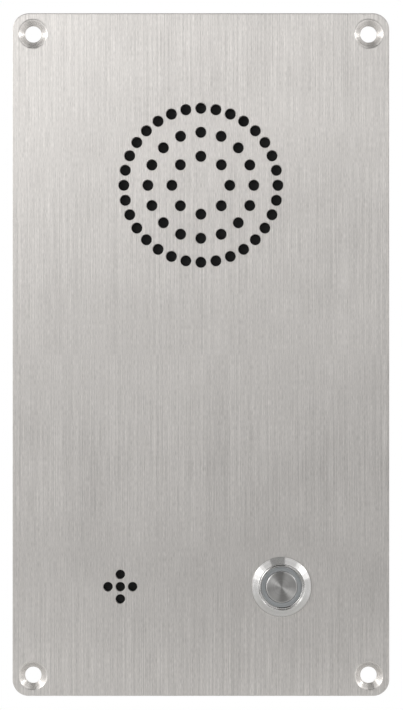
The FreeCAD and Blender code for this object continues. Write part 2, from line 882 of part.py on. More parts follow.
def board_screws():
    head, shank = board_screw_head_diameter / 2, stud_diameter / 2
    top, tip = board_rear + board_screw_head_height, board_front - board_screw_reach
    return [
        small_rod(head, board_rear, top, x, z).fuse(small_rod(shank, tip, board_rear, x, z))
        for x, z in board_fixing_places()
    ]


def board_place(offset):
    """A place on the plate, from one on the board."""
    return offset[0], board_z + offset[1]


def jack_floor():
    """Level of the plug opening's floor."""
    return board_place(jack_offset)[1] - jack_floor_drop


def plug_opening():
    """The outline that a network plug slides into: its body, its latch and the latch's key."""
    x, front = board_place(jack_offset)[0], connector_rear - jack_cavity_depth
    body, latch = (jack_plug_width, jack_plug_height), (jack_latch_width, jack_latch_height)
    low, opening = jack_floor(), []
    for width, height in (body, latch, (jack_key_width, jack_key_height)):
        opening.append(block(width, jack_cavity_depth, height, x, front, low + height / 2))
        low += height
    return opening[0].multiFuse(opening[1:]).removeSplitter()


def jack_shell():
    """Folded metal screen round the jack, open towards the board and the plug."""
    x, z = board_place(jack_offset)
    t = jack_shell_thickness
    inside = block(jack_width - 2 * t, jack_length, jack_height - 2 * t, x, board_rear, z)
    return block(jack_width, jack_length, jack_height, x, board_rear, z).cut(inside)


def jack_insert():
    x, z = board_place(jack_offset)
    t = jack_shell_thickness
    body = block(jack_width - 2 * t, jack_length, jack_height - 2 * t, x, board_rear, z)
    return body.cut(plug_opening())


def jack_contacts():
    """Spring wires that slope up from the floor of the plug opening."""
    floor, lifted = jack_floor(), jack_floor() + jack_contact_lift
    front, rear = connector_rear - jack_cavity_depth, connector_rear - jack_contact_setback
    outline = [(rear, floor), (front + jack_contact_flat, lifted), (front, lifted), (front, floor)]
    first = board_place(jack_offset)[0] - (jack_contact_count - 1) / 2 * jack_contact_pitch
    wires = []
    for k in range(jack_contact_count):
        left = first + k * jack_contact_pitch - jack_contact_width / 2
        points = [vector(left, y, level) for y, level in outline]
        side = Part.Face(Part.makePolygon(points + points[:1]))
        wires.append(side.extrude(vector(jack_contact_width, 0, 0)))
    return wires


def terminal_block():
    """Push-in terminals: a square wire entry and a small release slot for each pole, both from the rear."""
    x, z = board_place(terminal_offset)
    depth, width = connector_rear - board_rear, terminal_count * terminal_pitch
    low, high = z - terminal_block_height / 2, z + terminal_block_height / 2
    entry = terminal_entry_size, terminal_entry_depth, terminal_entry_size
    slot = terminal_slot_width, terminal_slot_depth, terminal_slot_height
    cuts = []
    for k in range(terminal_count):
        pole = x + (k - (terminal_count - 1) / 2) * terminal_pitch
        cuts.append(block(*entry, pole, connector_rear - terminal_entry_depth, low + terminal_entry_rise))
        cuts.append(block(*slot, pole, connector_rear - terminal_slot_depth, high - terminal_slot_drop))
    return block(width, depth, terminal_block_height, x, board_rear, z).cut(Part.makeCompound(cuts))


def on_board(size, offset):
    """A rectangular component on the board's rear face."""
    width, depth, height = size
    x, z = board_place(offset)
    return block(width, depth, height, x, board_rear, z)


def power_transformer():
    return on_board(transformer_size, transformer_offset)


def door_relay():
    return on_board(relay_size, relay_offset)


def board_chips():
    """The processor, its memory and the audio codec."""
    chips = (processor_size, processor_offset), (memory_size, memory_offset), (codec_size, codec_offset)
    return [on_board(size, offset) for size, offset in chips]


def board_capacitors():
    x, z = board_place(capacitor_offset)
    step = capacitor_diameter + capacitor_gap
    radius, rear = capacitor_diameter / 2, board_rear + capacitor_height
    return [small_rod(radius, board_rear, rear, x, z + k * step) for k in (-0.5, 0.5)]


def socket_rows():
    """Levels of the wire sockets: one near the board's top edge, two near its bottom edge."""
    return board_top - socket_inset, board_bottom + socket_inset


def board_sockets():
    upper, lower = socket_rows()
    width, depth, height = socket_size
    return [
        block(width, depth, height, x, board_rear, z)
        for x, z in ((0, upper), (-controls_offset, lower), (controls_offset, lower))
    ]


def lead(points, x):
    """A flat lead in a plane across X, as wide as lead_width, along (y, z) points joined by round bends."""
    nodes = [vector(x, y, z) for y, z in points]
    edges, start = [], nodes[0]
    for before, corner, after in zip(nodes, nodes[1:], nodes[2:]):
        entry = corner + (before - corner).normalize() * lead_bend_radius
        leave = corner + (after - corner).normalize() * lead_bend_radius
        centre = entry + leave - corner
        middle = centre + (corner - centre).normalize() * lead_bend_radius
        edges.append(Part.LineSegment(start, entry).toShape())
        edges.append(Part.Arc(entry, middle, leave).toShape())
        start = leave
    edges.append(Part.LineSegment(start, nodes[-1]).toShape())
    path = Part.Wire(edges)
    along = (nodes[1] - nodes[0]).normalize()
    across = along.cross(vector(1, 0, 0)) * (lead_thickness / 2)
    side = vector(lead_width / 2, 0, 0)
    signed = ((across, side), (across, -side), (-across, -side), (-across, side))
    corners = [nodes[0] + a + b for a, b in signed]
    section = Part.makePolygon(corners + corners[:1])
    return path.makePipeShell([section], True, True)


def speaker_lead():
    upper, _ = socket_rows()
    start, arch = ledge_front + frame_thickness + speaker_tag_thickness, socket_rear + lead_rise
    return lead([(start, speaker_tag_z()), (arch, speaker_tag_z()), (arch, upper), (socket_rear, upper)], 0)


def microphone_lead():
    _, lower = socket_rows()
    arch = socket_rear + lead_rise
    points = [(boot_rear, controls_z), (arch, controls_z), (arch, lower), (socket_rear, lower)]
    return lead(points, -controls_offset)


def switch_lead():
    _, lower = socket_rows()
    level = base_rear + switch_plug_length / 2
    points = [(level, controls_z + switch_plug_height / 2), (level, lower), (socket_rear, lower)]
    return lead(points, controls_offset)


def main():
    os.makedirs("parts", exist_ok=True)
    save("front_plate", front_plate())
    save("weld_studs", *weld_studs())
    save("cover_gasket", cover_gasket())
    save("rear_cover", rear_cover())
    save("cover_nuts", *stud_nuts(cover_stud_places(), flange_rear))
    save("speaker_cloth", speaker_cloth())
    save("speaker_frame", speaker_frame())
    save("pole_plate", pole_plate())
    save("speaker_magnet", speaker_magnet())
    save("speaker_yoke", speaker_yoke())
    save("speaker_cone", speaker_cone())
    save("cone_surround", cone_surround())
    save("cone_spider", cone_spider())
    save("dust_cap", dust_cap())
    save("voice_coil", voice_coil())
    save("speaker_tags", speaker_tags())
    save("speaker_bridge", speaker_bridge())
    save("bridge_nuts", *stud_nuts(speaker_stud_places(), bridge_thickness))
    save("microphone_cloth", microphone_cloth())
    save("microphone_boot", microphone_boot())
    save("microphone_capsule", microphone_capsule())
    save("microphone_bracket", microphone_bracket())
    save("bracket_nuts", *stud_nuts(microphone_stud_places(), bracket_thickness))
    save("switch_housing", switch_housing())
    save("switch_seal", switch_seal())
    save("switch_nut", switch_nut())
    save("button_cap", button_cap())
    save("light_ring", light_ring())
    save("button_plunger", button_plunger())
    save("plunger_seal", plunger_seal())
    save("plunger_collar", plunger_collar())
    save("return_spring", return_spring())
    save("contact_bridge", contact_bridge())
    save("switch_contacts", *switch_contacts())
    save("switch_base", switch_base())
    save("led_board", led_board())
    save("ring_leds", *ring_leds())
    save("led_pins", *led_pins())
    save("lamp_blades", *lamp_blades())
    save("switch_plug", switch_plug())
    save("board_standoffs", *board_standoffs())
    save("main_board", main_board())
    save("board_screws", *board_screws())
    save("jack_shell", jack_shell())
    save("jack_insert", jack_insert())
    save("jack_contacts", *jack_contacts())
    save("terminal_block", terminal_block())
    save("power_transformer", power_transformer())
    save("door_relay", door_relay())
    save("board_chips", *board_chips())
    save("board_capacitors", *board_capacitors())
    save("board_sockets", *board_sockets())
    save("speaker_lead", speaker_lead())
    save("microphone_lead", microphone_lead())
    save("switch_lead", switch_lead())


main()
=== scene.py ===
"""Looks of the flush wall intercom: a brushed steel front plate with a loudspeaker grille, a microphone and
one ring-lit push switch, a galvanised rear cover, and what is behind them.

+X is right and +Z up as the caller sees the plate, and +Y runs into the wall. Shapes are worked out in
millimetres and turned into metres when a mesh is made.
"""
import math
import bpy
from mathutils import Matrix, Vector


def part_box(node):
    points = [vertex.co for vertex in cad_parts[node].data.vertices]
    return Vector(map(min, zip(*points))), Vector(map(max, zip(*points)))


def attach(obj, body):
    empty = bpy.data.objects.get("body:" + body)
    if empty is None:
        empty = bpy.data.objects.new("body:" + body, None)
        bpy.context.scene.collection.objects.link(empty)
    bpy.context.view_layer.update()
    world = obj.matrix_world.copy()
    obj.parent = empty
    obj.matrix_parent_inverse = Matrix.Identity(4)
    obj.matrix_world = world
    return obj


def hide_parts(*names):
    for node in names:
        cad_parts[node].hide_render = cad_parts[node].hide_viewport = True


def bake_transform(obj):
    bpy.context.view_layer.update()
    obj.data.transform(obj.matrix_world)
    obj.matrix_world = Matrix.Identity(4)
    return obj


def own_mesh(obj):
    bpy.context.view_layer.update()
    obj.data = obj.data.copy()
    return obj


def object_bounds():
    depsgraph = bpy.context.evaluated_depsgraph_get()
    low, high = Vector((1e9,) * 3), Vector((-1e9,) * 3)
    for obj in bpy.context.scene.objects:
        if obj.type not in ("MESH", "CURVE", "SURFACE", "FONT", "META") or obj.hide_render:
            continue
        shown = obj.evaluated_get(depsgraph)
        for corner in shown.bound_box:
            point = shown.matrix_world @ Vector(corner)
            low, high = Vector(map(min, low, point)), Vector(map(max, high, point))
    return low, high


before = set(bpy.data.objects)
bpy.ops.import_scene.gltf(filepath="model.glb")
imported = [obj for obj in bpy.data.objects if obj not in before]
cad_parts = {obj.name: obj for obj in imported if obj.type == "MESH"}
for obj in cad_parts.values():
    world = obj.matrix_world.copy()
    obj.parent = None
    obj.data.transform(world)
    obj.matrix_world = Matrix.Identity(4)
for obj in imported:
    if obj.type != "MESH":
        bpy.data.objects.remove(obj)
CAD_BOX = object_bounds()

from types import SimpleNamespace

import bmesh
import bpy
import numpy as np
from bpy.props import FloatProperty, FloatVectorProperty, PointerProperty
from mathutils import Vector
from mathutils.geometry import delaunay_2d_cdt

bl_info = {
    "name": "Flush Wall Intercom",
    "version": (1, 0, 0),
    "blender": (4, 5, 0),
    "location": "3D View > Sidebar > Intercom",
    "description": "Builds the pieces, finishes and studio of a flush-mounted wall intercom",
    "category": "Object",
}

MM = 0.001
WELD = 1e-6
SHARP = math.radians(38)
SHARP_FOLD = math.radians(50)
QUARTER = math.pi / 2
SIDES = (-1, 1)


# Outlines: closed loops of (x, z) points in millimetres, counter-clockwise as the caller sees them.


def angles(count):
    """Angles evenly round a circle."""
    return np.arange(count) * 2 * math.pi / count


def around(x, z, radius, y, a):
    """Points at radius and angle a about the line through (x, z) along Y, at the level y."""
    return np.stack(np.broadcast_arrays(x + radius * np.cos(a), y + 0.0 * a, z + radius * np.sin(a)), -1)


def circle(radius, x=0.0, z=0.0, count=48):
    """Points at radius from (x, z), evenly round."""
    return around(x, z, radius, 0.0, angles(count))[:, ::2]


def rounded(width, height, radius, x=0.0, z=0.0, steps=6):
    """A rectangle whose corners are quarter circles of the given radius, each of steps chords."""
    corners = []
    for k, (sx, sz) in enumerate(((1, 1), (-1, 1), (-1, -1), (1, -1))):
        a = np.linspace(k, k + 1, steps + 1) * QUARTER
        cx, cz = x + sx * (width / 2 - radius), z + sz * (height / 2 - radius)
        corners.append(around(cx, cz, radius, 0.0, a)[:, ::2])
    return np.concatenate(corners)


def offset(loop, distance):
    """The loop moved outwards: each point goes along the bisector of its two sides' normals."""
    side = np.roll(loop, -1, 0) - loop
    normal = np.stack([side[:, 1], -side[:, 0]], 1)
    normal /= np.linalg.norm(normal, axis=1)[:, None]
    before = np.roll(normal, 1, 0)
    bisector = (normal + before) / (1 + (normal * before).sum(1))[:, None]
    return loop + distance * bisector


def rim(radius, support=None, steps=3):
    """A rounded edge from a face to a wall, as (inset, depth, worn) rows: inset r(1 - sin a) and depth
    r(1 - cos a), after a support row further in on the face."""
    support = radius * 0.5 if support is None else support
    arc = np.linspace(0, QUARTER, steps + 1)
    rows = [(radius * (1 - math.sin(b)), radius * (1 - math.cos(b)), 1.0) for b in arc]
    return [(radius + support, 0.0, 0.0)] + rows


def cross(x, z, reach, half, turn=0.0):
    """The outline of a cross: twelve corners of two bars, turned about (x, z)."""
    arm = np.array([(reach, -half), (reach, half), (half, half)])
    quarters = [arm @ np.array([[math.cos(b), math.sin(b)], [-math.sin(b), math.cos(b)]])
                for b in turn + np.arange(4) * QUARTER]
    return np.concatenate(quarters) + (x, z)


def cleaned(mesh):
    """Merges a mesh's doubled points, which closes its seams and poles, and turns its faces outwards."""
    work = bmesh.new()
    work.from_mesh(mesh)
    bmesh.ops.remove_doubles(work, verts=work.verts, dist=WELD)
    bmesh.ops.recalc_face_normals(work, faces=work.faces)
    work.to_mesh(mesh)
    work.free()


def placed(name, mesh, node, body="case", sharp=SHARP):
    """Puts a mesh in the scene as a piece that stands for a CAD node. One with no body is not attached to
    any.
    """
    mesh.shade_smooth()
    mesh.set_sharp_from_angle(angle=sharp)
    piece = bpy.data.objects.new(name, mesh)
    bpy.context.scene.collection.objects.link(piece)
    if body:
        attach(piece, body)
    if node:
        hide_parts(node)
    return piece


class Shell:
    """The faces of one piece: points in millimetres, and each face's UV places and its finish's number."""

    def __init__(self):
        self.points, self.edges, self.faces = [], [], []
        self.count = 0

    def add(self, points, edge, faces, places, slot):
        """Keeps points with how worn each is, and faces with their UV places."""
        self.points.append(points)
        self.edges.append(np.broadcast_to(np.asarray(edge, float), len(points)))
        self.faces.append((self.count + faces, places, slot))
        self.count += len(points)

    def grid(self, points, slot=0, edge=0.0, wrap=True):
        """Quads over points (rows, columns, 3): U is the length down the rows, V runs 0 to 1 along each."""
        rows, columns = points.shape[:2]
        i, j = np.arange(rows - 1)[:, None], np.arange(columns if wrap else columns - 1)
        corners = ((i, j), (i, j + 1), (i + 1, j + 1), (i + 1, j))
        faces = np.stack([a * columns + b % columns for a, b in corners], -1)
        step = np.linalg.norm(np.diff(points, axis=0), axis=2).mean(1)
        u = np.concatenate([[0], np.cumsum(step)]) / 100 + 1e-4 * np.arange(rows)
        v = np.arange(columns + 1) / columns
        places = np.stack([np.stack(np.broadcast_arrays(u[a], v[b]), -1) for a, b in corners], 2)
        edge = np.repeat(np.broadcast_to(np.asarray(edge, float), rows), columns)
        self.add(points.reshape(-1, 3), edge, faces.reshape(-1, 4), places.reshape(-1, 4, 2), slot)

    def skin(self, loops, levels, slot=0, edge=0.0):
        """Walls between loops of one count, each at its own level along Y."""
        self.grid(np.stack([np.insert(p, 1, y, axis=1) for p, y in zip(loops, levels)]), slot, edge)

    def wall(self, loop, rows, slot=0):
        """A profile of (outset, y, edge) rows carried along the loop."""
        outsets, levels, edges = zip(*rows)
        self.skin([offset(loop, out) for out in outsets], levels, slot, edges)

    def fill(self, loops, y, slot=0):
        """A flat face at y between the loops: triangles whose centre lies inside an odd number of them."""
        points, sides, first = np.concatenate(loops), [], 0
        for p in loops:
            n = len(p)
            sides += [(first + a, first + (a + 1) % n) for a in range(n)]
            first += n
        found = delaunay_2d_cdt([Vector(p) for p in points], sides, [], 0, 1e-6)
        flat, triangles = np.array([tuple(p) for p in found[0]]), np.array(found[2])
        centre = flat[triangles].mean(1)[:, None]
        start, end = points[np.array(sides)].transpose(1, 0, 2)
        inside = np.zeros(len(centre), int)
        for part in np.array_split(np.arange(len(start)), max(1, len(start) // 400)):
            p, q = start[part][None], end[part][None]
            over = (p[..., 1] > centre[..., 1]) != (q[..., 1] > centre[..., 1])
            rise = np.where(q[..., 1] == p[..., 1], 1.0, q[..., 1] - p[..., 1])
            cut = p[..., 0] + (centre[..., 1] - p[..., 1]) * (q[..., 0] - p[..., 0]) / rise
            inside += (over & (centre[..., 0] < cut)).sum(1)
        triangles = triangles[inside % 2 == 1]
        self.add(np.insert(flat, 1, y, axis=1), 0.0, triangles, flat[triangles] / 100, slot)

    def lathe(self, profile, x=0.0, z=0.0, count=96, slot=0, edge=0.0):
        """The profile's (radius, y) points turned about the line through (x, z) along Y."""
        r, y = np.array([tuple(p) for p in profile], float).T[:, :, None]
        self.grid(around(x, z, r, y, angles(count)), slot, edge)

    def eased(self, profile, radius, x, z, count=96, closed=False, slot=0):
        """A profile turned with rounded corners: each is a quadratic curve between two points at radius
        from it, with a support point outside each."""
        p = np.array(profile, float)
        if closed:
            start = (p[0] + p[-1]) / 2
            p = np.concatenate([[start], p, [start]])
        out, edge = [p[0]], [0.0]
        t = np.linspace(0, 1, 4)[:, None]
        for before, corner, after in zip(p, p[1:], p[2:]):
            a, b = before - corner, after - corner
            la, lb = np.linalg.norm(a), np.linalg.norm(b)
            r = min(radius, 0.4 * la, 0.4 * lb)
            a, b = a / la * r, b / lb * r
            curve = (1 - t) ** 2 * (corner + a) + 2 * t * (1 - t) * corner + t**2 * (corner + b)
            out += [corner + 1.2 * a, *curve, corner + 1.2 * b]
            edge += [0.0] + [1.0] * len(t) + [0.0]
        self.lathe(out + [p[-1]], x, z, count, slot, edge + [0.0])

    def prism(self, outline, front, rear, edge=0.2, holes=(), slots=(0, 0, 0), hole_edge=None):
        """A plate between two levels with rounded edges. Each hole is a loop and its depth from the front,
        or a loop and None where it goes right through."""
        hole_edge = edge if hole_edge is None else hole_edge
        way = 1 if rear > front else -1
        face, side, back = slots

        def broken(loop, rows, sign, level, into):
            """One rounded edge of the loop, outwards or inwards by the sign, from a level into the plate."""
            self.wall(loop, [(sign * i, level + into * d, e) for i, d, e in rows], side)

        outer, inner = rim(edge), rim(hole_edge, 0.06)
        broken(outline, outer, -1, front, way)
        broken(outline, outer, -1, rear, -way)
        self.wall(outline, [(0, front + way * edge, 1), (0, rear - way * edge, 1)], side)
        near, far = [offset(outline, -outer[0][0])], [offset(outline, -outer[0][0])]
        for loop, depth in holes:
            near.append(offset(loop, inner[0][0]))
            broken(loop, inner, 1, front, way)
            if depth is None:
                far.append(near[-1])
                broken(loop, inner, 1, rear, -way)
                self.wall(loop, [(0, front + way * hole_edge, 1), (0, rear - way * hole_edge, 1)], side)
            else:
                self.wall(loop, [(0, front + way * hole_edge, 1), (0, front + way * depth, 0)], side)
                self.fill([loop], front + way * depth, side)
        self.fill(near, front, face)
        self.fill(far, rear, back)

    def piece(self, name, node, slot, finishes, body="case", sharp=SHARP):
        """Makes the mesh of all the faces, with UVs, finishes and how worn each point is, and places it."""
        mesh = bpy.data.meshes.new(name)
        blocks = sorted(self.faces, key=lambda held: -held[0].shape[1])
        faces = [f for block, _, _ in blocks for f in block.tolist()]
        mesh.from_pydata((np.concatenate(self.points) * MM).tolist(), [], faces)
        places = np.concatenate([p.reshape(-1, 2) for _, p, _ in blocks])
        mesh.uv_layers.new(name="UVMap").data.foreach_set("uv", places.astype(np.float32).ravel())
        numbers = np.concatenate([np.full(len(block), s) for block, _, s in blocks])
        mesh.polygons.foreach_set("material_index", numbers.astype(np.int32))
        worn = mesh.attributes.new("edge", "FLOAT", "POINT")
        worn.data.foreach_set("value", np.concatenate(self.edges).astype(np.float32))
        for key in finishes.split():
            mesh.materials.append(finish(key))
        cleaned(mesh)
        return placed(name, mesh, node, body, sharp)


# Shader node groups: each puts out a value from 0 to 1, and reads Object coordinates.


class Net:
    """Adds nodes to a tree. An input that is a socket is linked, and any other is stored on the node."""

    def __init__(self, tree):
        self.tree = tree

    def join(self, node, inputs):
        """Links or stores a node's inputs."""
        for key, value in inputs.items():
            if isinstance(value, bpy.types.NodeSocket):
                self.tree.links.new(value, node.inputs[key])
            else:
                node.inputs[key].default_value = value
        return node

    def add(self, kind, inputs=None, **settings):
        """A new node, with its own settings and its inputs."""
        node = self.tree.nodes.new("ShaderNode" + kind)
        for key, value in settings.items():
            setattr(node, key, value)
        return self.join(node, inputs or {})

    def math(self, operation, a, b=0.0):
        """One step of arithmetic."""
        return self.add("Math", {0: a, 1: b}, operation=operation).outputs[0]

    def times(self, a, b):
        """The product of two values."""
        return self.math("MULTIPLY", a, b)

    def plus(self, a, b):
        """The sum of two values."""
        return self.math("ADD", a, b)

    def away(self, a, b):
        """Distance from an axis: the root of the sum of two squares."""
        return self.math("SQRT", self.plus(self.times(a, a), self.times(b, b)))

    def parts(self, vector):
        """The x, y and z of a vector."""
        return self.add("SeparateXYZ", {0: vector}).outputs

    def whole(self, *parts):
        """A vector of x, y and z."""
        return self.add("CombineXYZ", dict(enumerate(parts))).outputs[0]

    def noise(self, vector, scale=1.0, detail=2.0, rough=0.5):
        """Soft noise from 0 to 1."""
        node = self.add("TexNoise", {"Vector": vector, "Scale": scale, "Detail": detail, "Roughness": rough})
        return node.outputs[0]

    def spread(self, value, low, high, to_low=0.0, to_high=1.0):
        """A value carried from one range to another."""
        node = self.add("MapRange", {"Value": value, "From Min": low, "From Max": high,
                                     "To Min": to_low, "To Max": to_high})
        return node.outputs[0]

    def mix(self, factor, a, b, blend="MIX"):
        """Two colours mixed by a factor."""
        node = self.add("Mix", data_type="RGBA", blend_type=blend)
        return self.join(node, {0: factor, 6: a, 7: b}).outputs[2]

    def pattern(self, kind, vector, *values, **named):
        """A node group from PATTERNS, built once: a Vector input, its float inputs and one Value output."""
        tree = bpy.data.node_groups.get(kind)
        make, inputs = PATTERNS[kind]
        if tree is None:
            tree = bpy.data.node_groups.new(kind, "ShaderNodeTree")
            tree.interface.new_socket("Vector", in_out="INPUT", socket_type="NodeSocketVector")
            for label, value in inputs.items():
                held = tree.interface.new_socket(label, in_out="INPUT", socket_type="NodeSocketFloat")
                held.default_value = value
            tree.interface.new_socket("Value", in_out="OUTPUT", socket_type="NodeSocketFloat")
            start, end = tree.nodes.new("NodeGroupInput"), tree.nodes.new("NodeGroupOutput")
            tree.links.new(make(Net(tree), start.outputs), end.inputs["Value"])
        node = self.add("Group", node_tree=tree)
        return self.join(node, {"Vector": vector, **dict(zip(inputs, values)), **named}).outputs["Value"]


def hairline(net, given):
    """Brushed grain: three noises of one width and of short, middle and long streaks, added."""
    total = None
    for share, length in ((0.32, 9.0), (0.30, 1.4), (0.38, 0.22)):
        along = net.times(given["Along"], length)
        step = net.whole(given["Across"], given["Across"], along)
        place = net.add("VectorMath", {0: given["Vector"], 1: step}, operation="MULTIPLY").outputs[0]
        part = net.times(net.noise(place, 1.0, 1.0), share)
        total = part if total is None else net.plus(total, part)
    return net.spread(total, 0.36, 0.64)


def turning(net, given):
    """Tool marks round an axis along Y: noise of the distance from it."""
    x, _, z = net.parts(given["Vector"])
    ring = net.whole(net.times(net.away(x, z), given["Across"]))
    return net.spread(net.noise(ring), 0.32, 0.68)


def cloud(net, given):
    """Soft uneven patches: noise over a few centimetres."""
    return net.spread(net.noise(given["Vector"], given["Scale"], 3.0, 0.55), 0.3, 0.7)


def grain(net, given):
    """Moulded or cast grain: fine noise of one size on all sides."""
    return net.spread(net.noise(given["Vector"], given["Scale"], 2.0, 0.6), 0.3, 0.7)


def weave(net, given):
    """Plain weave: warp and weft threads are half waves that pass over each other in turn."""
    x, _, z = net.parts(given["Vector"])
    across, up = net.times(x, given["Threads"]), net.times(z, given["Threads"])
    both = net.plus(net.math("FLOOR", across), net.math("FLOOR", up))
    odd = net.math("MODULO", net.math("ABSOLUTE", both), 2.0)
    warp = net.math("SINE", net.times(net.math("FRACT", across), math.pi))
    weft = net.math("SINE", net.times(net.math("FRACT", up), math.pi))
    return net.plus(net.times(odd, warp), net.times(net.math("SUBTRACT", 1.0, odd), weft))


def spangle(net, given):
    """Zinc spangle: each Voronoi cell has its own tone, and fronds that run its own way."""
    swirl = net.add("TexNoise", {"Vector": given["Vector"], "Scale": 400.0}).outputs["Color"]
    bent = net.add("VectorMath", {0: given["Vector"], 1: swirl, 2: (0.0016, 0.0016, 0.0016)},
                   operation="MULTIPLY_ADD").outputs[0]
    cell = net.add("TexVoronoi", {"Vector": bent, "Scale": given["Scale"]})
    own = net.math("FRACT", net.times(cell.outputs["Color"], 7.3))
    full_turn = 6.283
    way = net.times(own, full_turn)
    x, y, z = net.parts(given["Vector"])
    run = net.plus(net.times(net.plus(x, y), net.math("COSINE", way)), net.times(z, net.math("SINE", way)))
    frond = net.math("SINE", net.times(run, net.times(given["Scale"], 40.0)))
    soft = net.times(net.times(frond, net.noise(given["Vector"], 2200.0)), 0.22)
    return net.plus(net.times(own, 0.75), net.plus(soft, 0.12))


def traces(net, given):
    """Copper lines under solder mask: a grid of lines each way, of which noise keeps some."""
    x, _, z = net.parts(given["Vector"])
    lines = []
    for order, (across, other) in enumerate(((x, z), (z, x))):
        step = net.math("DIVIDE", across, given["Pitch"])
        near = net.math("ABSOLUTE", net.math("SUBTRACT", net.math("FRACT", step), 0.5))
        run = net.math("DIVIDE", other, net.times(given["Pitch"], 9.0))
        place = net.whole(net.math("FLOOR", step), net.math("FLOOR", run), order * 7.3)
        kept = net.add("TexWhiteNoise", {"Vector": place}, noise_dimensions="3D").outputs[0]
        line = net.math("LESS_THAN", near, 0.13)
        lines.append(net.times(line, net.math("GREATER_THAN", kept, 0.55)))
    return net.math("MAXIMUM", *lines)


def rubbed(net, given):
    """Bright rubbed edges: the edge attribute, broken up by noise."""
    edge = net.add("Attribute", attribute_name="edge", attribute_type="GEOMETRY").outputs["Fac"]
    share = net.spread(net.noise(given["Vector"], given["Scale"], 3.0, 0.6), 0.35, 0.65, 0.25, 1.0)
    return net.times(net.times(edge, share), given["Amount"])


# Each pattern's maker and its float inputs. Scales, lines and threads are counts to a metre, and the pitch is
# in metres.
PATTERNS = {
    "hairline": (hairline, {"Across": 6000.0, "Along": 60.0}),
    "turning": (turning, {"Across": 5000.0}),
    "cloud": (cloud, {"Scale": 30.0}),
    "grain": (grain, {"Scale": 2500.0}),
    "weave": (weave, {"Threads": 4000.0}),
    "spangle": (spangle, {"Scale": 160.0}),
    "traces": (traces, {"Pitch": 0.00127}),
    "wear": (rubbed, {"Scale": 900.0, "Amount": 0.5}),
}


def moulded(hue, rough=(0.42, 0.58)):
    """The row of FINISHES for a moulded plastic of one colour."""
    dark, light, worn = (tuple(c * factor for c in hue) for factor in (0.85, 1.2, 1.9))
    more = dict(patches=0.05, bump=0.25, depth=3e-5, wear=0.3, worn=worn)
    return dark, light, rough, ("grain", 1800.0), more


